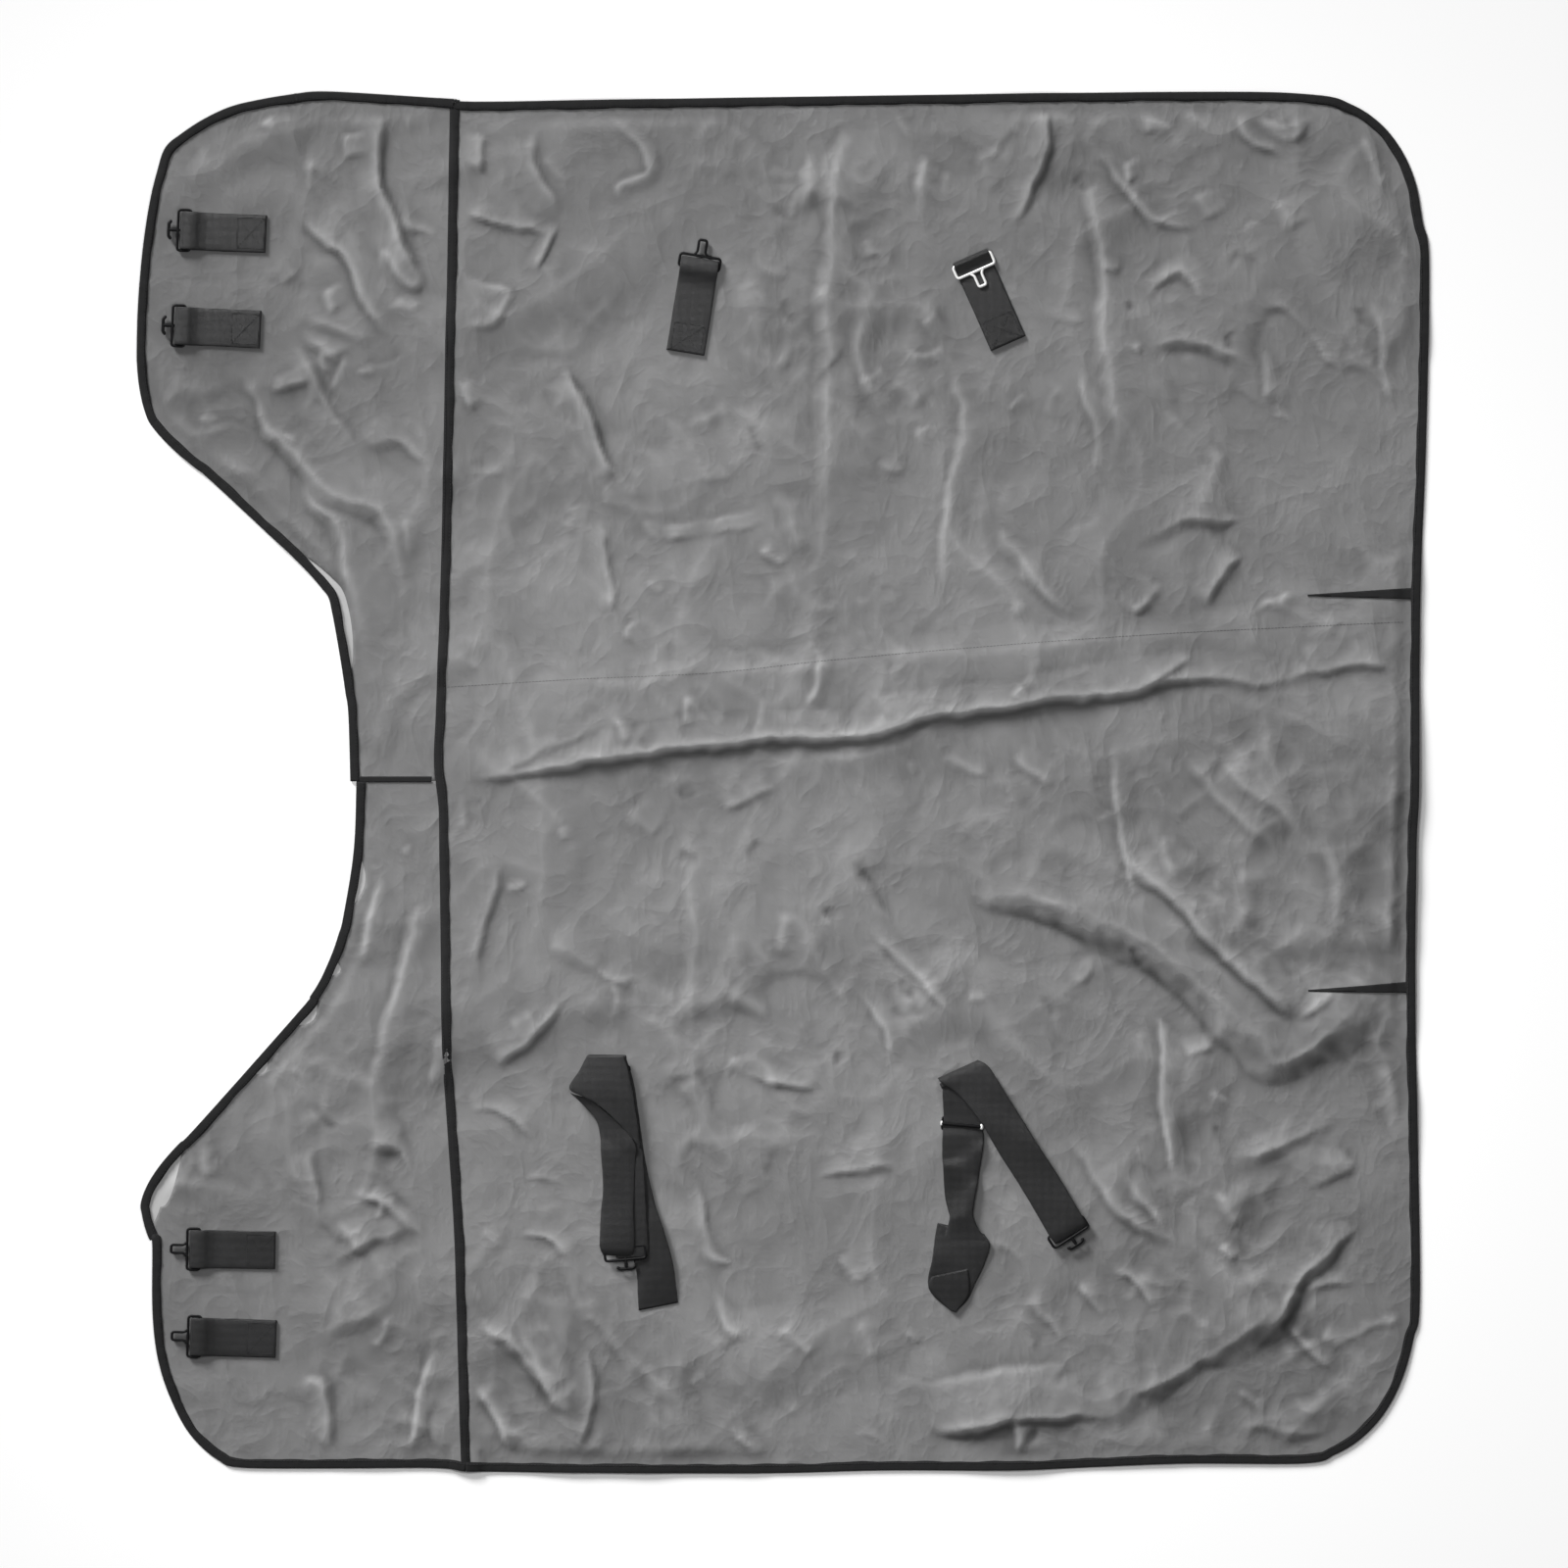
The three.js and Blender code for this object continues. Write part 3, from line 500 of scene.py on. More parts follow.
    (2.4, 5, 5, [(-681, 681), (-655, 696)]),
    (2.2, 6, 6, [(-623, 663), (-607, 630)]),
    (2.8, 8, 8, [(-663, 610), (-597, 567)]),
    (3.6, 8, 8, [(-491, -138), (-504, -212), (-524, -300), (-570, -432)]),
    (2.8, 5, 5, [(-469, -329), (-480, -414)]),
    (3.8, 9, 6, [(-565, -496), (-517, -504), (-491, -565)]),
    (2.6, 5, 6, [(-643, -488), (-636, -573)]),
    (4.0, 6, 9, [(-663, -799), (-618, -817), (-603, -917)]),
    (3.2, 6, 5, [(-469, -753), (-491, -829), (-505, -917)]),
    (3.4, 10, 8, [(-833, -777), (-769, -854), (-721, -864)]),
    (3.6, 14, 12, [(-705, -785), (-610, -729), (-528, -687)]),
    (2.6, 6, 6, [(-590, -541), (-530, -578), (-461, -613)]),
    (2.0, 6, 6, [(-610, -586), (-575, -639)]),
    (2.6, 10, 8, [(-623, -650), (-557, -613), (-491, -594)]),
    (2.2, 8, 8, [(-789, -477), (-776, -537)]),
    (2.0, 8, 8, [(-742, -795), (-713, -849)]),
    (3.4, 10, 8, [(-541, -106), (-557, -186), (-567, -245)]),
)

RANDOM_CREASES = 260
BASE_LEVEL = 0.0088
broad = 0.0017 * soft_noise(0.30) + 0.0014 * soft_noise(0.12, (1, 0.5))
lumps = 0.0008 * soft_noise(0.060) + 0.0003 * soft_noise(0.030)
patches = eased(0.55 + 0.6 * soft_noise(0.18))
facets = -0.0042 * np.abs(soft_noise(0.17)) - 0.0026 * np.abs(soft_noise(0.085))
facets -= patches * (0.0015 * np.abs(soft_noise(0.045)) + 0.0007 * np.abs(soft_noise(0.024)))
folds = np.zeros_like(GX)
for height, left, right, points in FOLDS:
    steep = BIG_STEEP if height >= BIG_FOLD else STEEP
    if left >= right:
        left, right = left * GENTLE, right * steep
    else:
        left, right = left * steep, right * GENTLE
    raise_fold(folds, height, left, right, points)
for _ in range(RANDOM_CREASES):
    x, y = rng.uniform(low[0], high[0]) / MM, rng.uniform(low[1], high[1]) / MM
    heading = rng.normal(-math.pi / 2, 0.8)
    length = rng.uniform(18, 70)
    bend = rng.normal(0, 0.5)
    track = [(x, y)]
    for _ in range(3):
        heading += bend
        track.append((track[-1][0] + length / 3 * math.cos(heading),
                      track[-1][1] + length / 3 * math.sin(heading)))
    width = rng.uniform(3, 6)
    raise_fold(folds, rng.uniform(0.5, 1.5) * (1 if rng.random() < 0.75 else -1),
               width * rng.uniform(1.5, 4), width, track)
relief = BASE_LEVEL + broad + lumps + facets + folds

# ---------------------------------------------------------------- straps and fittings, as placed in the CAD


def footprint(node, toward):
    """A strap's centre line on the sheet: its far end, its direction towards a point, length and width."""
    points = np.array([(v.co.x, v.co.y) for v in nodes[node].data.vertices])
    best = None
    for degrees in np.arange(0, 90, 0.1):
        c, s = math.cos(math.radians(degrees)), math.sin(math.radians(degrees))
        turned = points @ np.array([[c, -s], [s, c]])
        size = turned.max(axis=0) - turned.min(axis=0)
        if best is None or size[0] * size[1] < best[0]:
            best = (size[0] * size[1], c, s, turned.min(axis=0), turned.max(axis=0))
    _, c, s, a, b = best
    middle = (a + b) / 2
    size = b - a
    axes = np.array([[c, s], [-s, c]])
    long_axis = 0 if size[0] > size[1] else 1
    centre = middle[0] * axes[0] + middle[1] * axes[1]
    direction = axes[long_axis]
    if (np.asarray(toward)[:2] - centre) @ direction < 0:
        direction = -direction
    length, width = size[long_axis], size[1 - long_axis]
    return centre - direction * length / 2, direction, length, width


STRAPS = {
    "right_upper_tab": ("right_upper_hook", "right_flap"),
    "right_lower_tab": ("right_lower_hook", "right_flap"),
    "left_upper_tab": ("left_upper_eye", "left_flap"),
    "left_lower_tab": ("left_lower_eye", "left_flap"),
    "right_front_anchor": ("right_front_eye", "right_side"),
    "right_rear_anchor": ("right_rear_eye", "right_side"),
    "left_front_base_strap": ("left_front_slider", "left_side"),
    "left_rear_base_strap": ("left_rear_slider", "left_side"),
    "left_front_loose_strap": ("left_front_hook", "left_front_loose_strap"),
    "left_rear_loose_strap": ("left_rear_hook", "left_rear_loose_strap"),
}
strap_frames = {}
for strap, (fitting, _) in STRAPS.items():
    strap_frames[strap] = footprint(strap, box_centre(fitting))

REST_LEVEL = 0.0026  # the cloth's height under straps and fittings
WITHERS = ((-0.66, 0.0), (-0.462, 0.0))
WITHERS_LEVEL = 0.0004
WITHERS_REACH = 0.075
STRAP_REACH = 0.088
FITTING_REACH = 0.08
PAST_SHORT_STRAP = 0.036
EDGE_REACH = 0.045
SEAM_REACH = 0.026
flat = np.zeros_like(GX)
for strap, (start, direction, length, width) in strap_frames.items():
    reach = length + (PAST_SHORT_STRAP if "tab" in strap or "anchor" in strap else 0.0)
    for across in (-0.3, 0, 0.3):
        a = start + left_of(direction) * width * across
        flat = np.maximum(flat, near_line([a, a + direction * reach], STRAP_REACH))
for fitting, _ in STRAPS.values():
    centre = box_centre(fitting)[:2]
    flat = np.maximum(flat, near_line([centre, centre + (MM, 0)], FITTING_REACH))
flat = eased((flat - 0.04 + 0.06 * soft_noise(0.05)) / 0.60)

edge = np.zeros_like(GX)
for line in (body_hem, front_hem["right"], front_hem["left"]):
    edge = np.maximum(edge, near_line(line, EDGE_REACH))
seams = near_line(seam, SEAM_REACH)
soft_relief = blurred(relief, 0.006)
edge_height = blurred(relief, 0.014) * 0.5
stiff = eased((edge - 0.18) / 0.42)
relief = relief * (1 - stiff) + edge_height * stiff
stiff = eased(seams / 0.5)
relief = relief * (1 - stiff) + soft_relief * stiff
# A soft floor under the hollows, and a soft ceiling over the crests.
FLOOR_SOFTNESS = 0.0012
FLOOR_DROP = 0.0003
KNEE = 0.015
ABOVE_KNEE = 0.6
LOWEST, HIGHEST = 0.0003, 0.0225
relief = 0.5 * (relief + np.sqrt(relief ** 2 + FLOOR_SOFTNESS ** 2)) - FLOOR_DROP
relief = relief * (1 - flat) + REST_LEVEL * flat
withers = eased(near_line(WITHERS, WITHERS_REACH) / 0.8)
relief = relief * (1 - withers) + WITHERS_LEVEL * withers
relief = np.where(relief > KNEE, KNEE + (relief - KNEE) * ABOVE_KNEE, relief)
relief = np.clip(relief, LOWEST, HIGHEST)

# How the cloth bends, from -1 in a hollow to 1 on a crest. It tones the mesh's colour through a vertex
# attribute: painted shade in the hollows and painted highlight on the crests.
BEND_GAIN = 9
bend = np.zeros_like(relief)
for reach in (2, 5):
    calm = blurred(relief, reach * CELL / 2)
    ring = np.roll(calm, reach, 0) + np.roll(calm, -reach, 0)
    ring = ring + np.roll(calm, reach, 1) + np.roll(calm, -reach, 1)
    bend += np.clip((calm - ring / 4) / (reach * CELL) * BEND_GAIN, -1, 1)

# Broad painted shade (under zero) and painted light on the cloth: middle and half sizes in mm, and strength.
SHADES = ((-790, 610, 150, 230, -0.55), (-800, -560, 130, 200, -0.35), (-720, 380, 110, 160, -0.25),
          (790, -90, 110, 190, -0.5), (800, -560, 120, 260, -0.4), (560, -840, 300, 70, -0.35),
          (300, 40, 420, 45, -0.15), (20, -330, 330, 120, 0.2), (-60, 240, 330, 160, 0.15))
for x, y, half_x, half_y, amount in SHADES:
    bend += amount * np.exp(-((GX / MM - x) / half_x) ** 2 - ((GY / MM - y) / half_y) ** 2)
bend += 0.22 * np.clip(soft_noise(0.11, (1, 0.6)), -1, 2) + 0.35 * np.clip(soft_noise(0.035) - 1.3, 0, 1.5)


def lift(xy):
    """The relief's height at points (x, y)."""
    return sampled(relief, xy)


# ---------------------------------------------------------------- mesh builders


def add_mesh(name, vertices, faces, finish, smooth_shading=True):
    """A new object of one material."""
    mesh = bpy.data.meshes.new(name)
    mesh.from_pydata([tuple(v) for v in vertices], [], faces)
    if smooth_shading:
        mesh.polygons.foreach_set("use_smooth", [True] * len(mesh.polygons))
    mesh.materials.append(finish)
    piece = bpy.data.objects.new(name, mesh)
    bpy.context.scene.collection.objects.link(piece)
    return piece


def face_out(piece):
    """Turns every face of a closed shape to the outside."""
    work = bmesh.new()
    work.from_mesh(piece.data)
    bmesh.ops.recalc_face_normals(work, faces=work.faces)
    work.to_mesh(piece.data)
    work.free()
    return piece


def inside(loop, points):
    """Which points lie inside the closed loop."""
    hit = np.zeros(len(points), bool)
    x, y = points[:, 0], points[:, 1]
    for (x0, y0), (x1, y1) in zip(loop, np.roll(loop, -1, axis=0)):
        if y0 == y1:
            continue
        crosses = (y0 > y) != (y1 > y)
        hit ^= crosses & (x < (x1 - x0) * (y - y0) / (y1 - y0) + x0)
    return hit


def on_loop(loop, points):
    """The nearest point of the closed loop to each point."""
    best = np.full(len(points), np.inf)
    out = points.copy()
    for p, q in zip(loop, np.roll(loop, -1, axis=0)):
        step = q - p
        t = np.clip(((points - p) @ step) / (step @ step + 1e-15), 0, 1)
        spot = p + t[:, None] * step
        distance = np.linalg.norm(points - spot, axis=1)
        closer = distance < best
        best[closer] = distance[closer]
        out[closer] = spot[closer]
    return out


def grid_cloth(name, loop, bottom, thickness, finish, pitch=0.0038):
    """A thin sheet over the relief, cut to the loop."""
    a, b = loop.min(axis=0), loop.max(axis=0)
    columns = np.arange(math.floor(a[0] / pitch), math.ceil(b[0] / pitch) + 1)
    rows = np.arange(math.floor(a[1] / pitch), math.ceil(b[1] / pitch) + 1)
    px, py = np.meshgrid(columns * pitch, rows * pitch, indexing="ij")
    centres = np.stack([px[:-1, :-1] + pitch / 2, py[:-1, :-1] + pitch / 2], axis=-1)
    keep = inside(loop, centres.reshape(-1, 2)).reshape(centres.shape[:2])
    index = -np.ones(px.shape, int)
    used = np.zeros(px.shape, bool)
    for di, dj in ((0, 0), (1, 0), (1, 1), (0, 1)):
        used[di:used.shape[0] - 1 + di, dj:used.shape[1] - 1 + dj] |= keep
    index[used] = np.arange(used.sum())
    xy = np.stack([px[used], py[used]], axis=-1)
    i, j = np.where(keep)
    quads = np.stack([index[i, j], index[i + 1, j], index[i + 1, j + 1], index[i, j + 1]], axis=-1)
    sides = np.concatenate([quads[:, [k, (k + 1) % 4]] for k in range(4)])
    count = len(xy)
    forward = set((sides[:, 0] * count + sides[:, 1]).tolist())
    rim = [(u, v) for u, v in sides.tolist() if v * count + u not in forward]
    rim_points = np.array(sorted({u for u, _ in rim}))
    xy[rim_points] = on_loop(loop, xy[rim_points])
    base = lift(xy) + bottom
    top = np.column_stack([xy, base + thickness])
    under = np.column_stack([xy, base])
    faces = quads.tolist() + (quads[:, ::-1] + count).tolist()
    faces += [(v, u, u + count, v + count) for u, v in rim]
    piece = add_mesh(name, np.vstack([top, under]), faces, finish)
    # Painted shade in hollows and painted highlight on crests, with broad painted shade and random tone,
    # kept as a vertex attribute that darkens and lightens the colour.
    painted_shade_and_tone = piece.data.attributes.new("painted_shade_and_tone", "FLOAT", "POINT")
    painted_shade_and_tone.data.foreach_set("value", np.tile(sampled(bend, xy), 2).astype(np.float32))
    return piece


def inward(line):
    """Unit vectors to the left of a line's direction: inwards for an anticlockwise outline."""
    tangent = np.gradient(line, axis=0)
    tangent /= np.linalg.norm(tangent, axis=1)[:, None] + 1e-12
    return np.column_stack([-tangent[:, 1], tangent[:, 0]])


SWEEP_PITCH = 0.0025
RIPPLE = 0.0005
PUFF = 0.00018
LEVEL_INSET = 0.010


def sweep(name, line, profile, finish, outset=0.0015):
    """A closed profile of (inward distance, height) carried along an outline, over the relief."""
    line = dense(line, SWEEP_PITCH)
    sideways = inward(line)
    count = len(line)
    ring = len(profile)
    run = np.arange(count) * SWEEP_PITCH
    wave = RIPPLE * (np.sin(run * 61 + 1.3) + 0.7 * np.sin(run * 143 + 0.4) + 0.5 * np.sin(run * 37))
    puff = PUFF * (np.sin(run * 410) + np.sin(run * 733 + 2) + np.sin(run * 251 + 1))
    vertices = np.zeros((count, ring, 3))
    for k, (distance, height) in enumerate(profile):
        share = distance / profile[:, 0].max()
        spot = line + sideways * (distance - outset + wave * share)[:, None]
        vertices[:, k, :2] = spot
        level = lift(line + sideways * min(distance, LEVEL_INSET))
        vertices[:, k, 2] = level + height + (puff * share if height > 0.0012 else 0)
    faces = []
    for i in range(count - 1):
        for k in range(ring):
            n = (k + 1) % ring
            faces.append((i * ring + k, (i + 1) * ring + k, (i + 1) * ring + n, i * ring + n))
    faces.append(tuple(range(ring)))
    faces.append(tuple((count - 1) * ring + k for k in reversed(range(ring))))
    return face_out(add_mesh(name, vertices.reshape(-1, 3), faces, finish))


def binding_profile(width, height, leaf):
    """A tape folded over an edge: round outside, two leaves, open inside."""
    rim = []
    for k in range(7):
        angle = math.pi / 2 + math.pi * k / 6
        rim.append((height / 2 + height / 2 * math.cos(angle), height / 2 + height / 2 * math.sin(angle)))
    points = [(width, height - leaf), (width * 1.004, height - leaf * 0.5), (width * 0.99, height - 0.0001),
              (width * 0.6, height + 0.0002), (width * 0.3, height + 0.0001)]
    points += rim
    points += [(width * 0.5, 0.0), (width * 0.97, 0.0), (width, leaf * 0.6)]
    return np.array(points)


# ---------------------------------------------------------------- materials


def material(name, colour, rough, sheen=0.0, metal=0.0):
    """A plain Principled material, with its node tree and shader."""
    mat = bpy.data.materials.new(name)
    mat.use_nodes = True
    shader = mat.node_tree.nodes["Principled BSDF"]
    shader.inputs["Base Color"].default_value = (*colour, 1)
    shader.inputs["Roughness"].default_value = rough
    shader.inputs["Metallic"].default_value = metal
    shader.inputs["Sheen Weight"].default_value = sheen
    shader.inputs["Sheen Roughness"].default_value = 0.5
    shader.inputs["Specular IOR Level"].default_value = 0.3
    return mat, mat.node_tree, shader


def add_node(tree, kind, **inputs):
    """A new shader node with some inputs set; an underscore in a name stands for a space."""
    node = tree.nodes.new(kind)
    for key, value in inputs.items():
        node.inputs[key.replace("_", " ")].default_value = value
    return node


CRUMPLE = 0.8  # strength of the fine creases


def cloth_material(name, colour, weave, depth, mottle, sheen, painted_shade_and_tone=0.0, rough=0.85):
    """Woven cloth: two crossed sets of threads, uneven tone and a soft sheen, and, where a gain for the
    mesh's tone attribute is given, painted shade in hollows and painted highlight on crests.
    """
    mat, tree, shader = material(name, colour, rough, sheen)
    place = tree.nodes.new("ShaderNodeTexCoord")
    height = None
    for direction in ("X", "Y"):
        wave = add_node(tree, "ShaderNodeTexWave", Scale=weave, Distortion=0.6, Detail=1.0, Detail_Scale=2.0)
        wave.bands_direction = direction
        tree.links.new(place.outputs["Object"], wave.inputs["Vector"])
        if height is None:
            height = wave.outputs["Fac"]
        else:
            mix = tree.nodes.new("ShaderNodeMath")
            mix.operation = "ADD"
            tree.links.new(height, mix.inputs[0])
            tree.links.new(wave.outputs["Fac"], mix.inputs[1])
            height = mix.outputs[0]
    bump = add_node(tree, "ShaderNodeBump", Strength=0.5, Distance=depth)
    tree.links.new(height, bump.inputs["Height"])
    tree.links.new(bump.outputs["Normal"], shader.inputs["Normal"])
    if painted_shade_and_tone:
        crumple = add_node(tree, "ShaderNodeTexNoise", Scale=14.0, Detail=3.5, Roughness=0.45,
                           Distortion=0.25)
        crumple.noise_type = "RIDGED_MULTIFRACTAL"
        crumple.inputs["Offset"].default_value = 1.0
        crumple.inputs["Gain"].default_value = 2.0
        stretch = add_node(tree, "ShaderNodeMapping", Scale=(1.0, 0.8, 1.0), Rotation=(0, 0, 0.5))
        tree.links.new(place.outputs["Object"], stretch.inputs["Vector"])
        tree.links.new(stretch.outputs["Vector"], crumple.inputs["Vector"])
        crease = add_node(tree, "ShaderNodeBump", Strength=CRUMPLE, Distance=0.0032)
        tree.links.new(crumple.outputs["Fac"], crease.inputs["Height"])
        tree.links.new(crease.outputs["Normal"], bump.inputs["Normal"])
    cloud = add_node(tree, "ShaderNodeTexNoise", Scale=14.0, Detail=6.0, Roughness=0.62)
    tree.links.new(place.outputs["Object"], cloud.inputs["Vector"])
    ramp = tree.nodes.new("ShaderNodeValToRGB")
    ramp.color_ramp.elements[0].position = 0.3
    ramp.color_ramp.elements[1].position = 0.7
    ramp.color_ramp.elements[0].color = (*[c * (1 - mottle) for c in colour], 1)
    ramp.color_ramp.elements[1].color = (*[c * (1 + mottle) for c in colour], 1)
    tree.links.new(cloud.outputs["Fac"], ramp.inputs["Fac"])
    if not painted_shade_and_tone:
        tree.links.new(ramp.outputs["Color"], shader.inputs["Base Color"])
        return mat
    # The vertex attribute scales the base colour: painted shade in hollows, painted highlight on crests,
    # plus random tone.
    tone = tree.nodes.new("ShaderNodeAttribute")
    tone.attribute_name = "painted_shade_and_tone"
    gain = tree.nodes.new("ShaderNodeMath")
    gain.operation = "MULTIPLY_ADD"
    gain.inputs[1].default_value = painted_shade_and_tone
    gain.inputs[2].default_value = 1.0
    tree.links.new(tone.outputs["Fac"], gain.inputs[0])
    scale = tree.nodes.new("ShaderNodeVectorMath")
    scale.operation = "SCALE"
    tree.links.new(ramp.outputs["Color"], scale.inputs[0])
    tree.links.new(gain.outputs[0], scale.inputs["Scale"])
    tree.links.new(scale.outputs["Vector"], shader.inputs["Base Color"])
    return mat


mesh_cloth = cloth_material("grey_mesh", (0.184, 0.184, 0.185), 520, 0.0004, 0.09, 0.1, 0.30)
lining_cloth = cloth_material("pale_lining", (0.42, 0.42, 0.42), 300, 0.0002, 0.05, 0.1)
binding_cloth = cloth_material("black_binding", (0.008, 0.008, 0.0085), 330, 0.0004, 0.2, 0.02)
webbing_cloth = cloth_material("black_webbing", (0.0085, 0.0085, 0.009), 210, 0.0006, 0.55, 0.05, rough=0.45)
thread, _, _ = material("black_thread", (0.022, 0.022, 0.023), 0.6)
black_steel, _, steel_shader = material("black_steel", (0.004, 0.004, 0.0045), 0.5)
steel_shader.inputs["Specular IOR Level"].default_value = 0.15
# A bright finish that stands in for light the metal reflects: a painted reflection on the folded eye and a
# painted glint on the rear slider's bar ends; the other fittings are black.
painted_glint_finish, _, _ = material("nickel_steel", (0.93, 0.93, 0.92), 0.3, metal=0.3)

# ---------------------------------------------------------------- cloth, linings, bindings and tapes

CLOTH_BOTTOM = 0.0009
CLOTH_THICK = 0.0008
LINING_BOTTOM = 0.0002
LINING_THICK = 0.0004
TAPE_BOTTOM = CLOTH_BOTTOM + CLOTH_THICK + 0.0002
TAPE_THICK = 0.0009
BINDING_HEIGHT = 0.0030
BINDING_LEAF = 0.0007


def across_spine(piece):
    """Bakes a piece's placement into its mesh."""
    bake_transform(piece)


def across_flap(piece):
    """Bakes a piece's placement into its mesh."""
    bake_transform(piece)


profile = binding_profile(BINDING_WIDTH, BINDING_HEIGHT, BINDING_LEAF)
body_cloth = grid_cloth("body_cloth", body_outline, CLOTH_BOTTOM, CLOTH_THICK, mesh_cloth)
body_binding = sweep("body_binding", body_hem, profile, binding_cloth)
for side in ("right", "left"):
    cloth = grid_cloth(side + "_front_cloth", slipped(front_outline[side]), CLOTH_BOTTOM, CLOTH_THICK,
                       mesh_cloth)
    lining = grid_cloth(side + "_front_lining", front_outline[side], LINING_BOTTOM, LINING_THICK,
                        lining_cloth)
    binding = sweep(side + "_front_binding", front_hem[side], profile, binding_cloth)
    for piece, slot in ((cloth, "grey_mesh"), (lining, "pale_lining"), (binding, "black_binding")):
        across_flap(piece)
    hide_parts(side + "_front_panel", side + "_chest_flap")
    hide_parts(side + "_shoulder_lining", side + "_flap_lining")
    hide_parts(side + "_shoulder_binding", side + "_neck_binding", side + "_flap_binding")
across_spine(body_cloth)
across_spine(body_binding)
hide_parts("right_body_panel", "left_body_panel")
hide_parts("right_hem_binding", "left_hem_binding", "right_tail_binding", "left_tail_binding")

tape_profile = np.array([(0.0, TAPE_BOTTOM), (0.0125, TAPE_BOTTOM), (0.0127, TAPE_BOTTOM + TAPE_THICK / 2),
                         (0.0122, TAPE_BOTTOM + TAPE_THICK), (0.0062, TAPE_BOTTOM + TAPE_THICK * 1.2),
                         (0.0003, TAPE_BOTTOM + TAPE_THICK), (-0.0002, TAPE_BOTTOM + TAPE_THICK / 2)])
TAPE_PITCH = 0.002
SEAM_PITCH = 0.06
seam_line = smooth(dense(seam, SEAM_PITCH), 4)
seam_tape = sweep("shoulder_seam_tape", seam_line, tape_profile, binding_cloth, outset=0.0062)
across_spine(seam_tape)
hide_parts("right_seam_tape", "left_seam_tape")
for tape in ("withers_tape", "right_tail_dart", "left_tail_dart"):
    piece = grid_cloth(tape + "_cloth", outline(tape), TAPE_BOTTOM, TAPE_THICK, binding_cloth, TAPE_PITCH)
    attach(piece, "left_side" if tape.startswith("left") else "right_side")
    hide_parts(tape)

# ---------------------------------------------------------------- stitching

STITCH = 0.0030
STITCH_PITCH = 0.0046
STITCH_HALF = 0.00028
STITCH_PROUD = 0.0003
STITCH_INSET = 0.0088
TAPE_STITCH_SIDE = 0.0042
ON_BINDING = BINDING_HEIGHT + 0.0004
ON_TAPE = TAPE_BOTTOM + TAPE_THICK * 1.1


def stitches(name, lines):
    """Thread dashes along lines of (x, y, z)."""
    vertices, faces = [], []
    for line in lines:
        marks = dense(line, STITCH_PITCH)
        for p, q in zip(marks, marks[1:]):
            step = (q - p) / (np.linalg.norm(q - p) + 1e-12)
            side_step = np.array([-step[1], step[0], 0]) * STITCH_HALF
            first = len(vertices)
            for end in (p, p + step * STITCH):
                for across, up in ((-1, -1), (1, -1), (0.6, 1), (-0.6, 1)):
                    vertices.append(end + side_step * across + np.array([0, 0, STITCH_PROUD * up]))
            quads = ((0, 1, 2, 3), (7, 6, 5, 4), (4, 5, 1, 0), (5, 6, 2, 1), (6, 7, 3, 2), (7, 4, 0, 3))
            faces += [tuple(first + k for k in quad) for quad in quads]
    return face_out(add_mesh(name, vertices, faces, thread, False))


def over_cloth(line, inset, height):
    """A line moved inwards and laid over the relief at a height, as (x, y, z)."""
    line = dense(line, STITCH_PITCH)
    spot = line + inward(line) * inset
    return np.column_stack([spot, lift(spot) + height])


body_stitches = stitches("body_binding_stitches", [over_cloth(body_hem, STITCH_INSET, ON_BINDING)])
across_spine(body_stitches)
tape_lines = [over_cloth(seam_line, inset, ON_TAPE) for inset in (-TAPE_STITCH_SIDE, TAPE_STITCH_SIDE)]
tape_stitches = stitches("shoulder_tape_stitches", tape_lines)
across_spine(tape_stitches)
for side in ("right", "left"):
    piece = stitches(side + "_front_stitches", [over_cloth(front_hem[side], STITCH_INSET, ON_BINDING)])
    across_flap(piece)

# The sewn upper edge of the band over the spine, in mm.
BAND_TOP = ((-455, 131), (-273, 142), (-95, 150), (60, 167), (265, 185), (530, 204), (838, 219))
band = over_cloth(smooth(np.array(BAND_TOP) * MM, 4), 0.0, CLOTH_BOTTOM + CLOTH_THICK)
fold_stitches = stitches("spine_band_stitches", [band])
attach(fold_stitches, "right_side")

# ---------------------------------------------------------------- webbing straps

WEBBING = 0.0016
EDGE_WANDER = 0.0003
LIFT = 0.0019  # how far the crumpled cloth holds the straps above their place in the CAD
# Places across the webbing, as shares of its width.
RIM = (0.0, 0.012, 0.04, 0.1, 0.2, 0.3, 0.4, 0.5, 0.6, 0.7, 0.8, 0.9, 0.96, 0.988, 1.0)


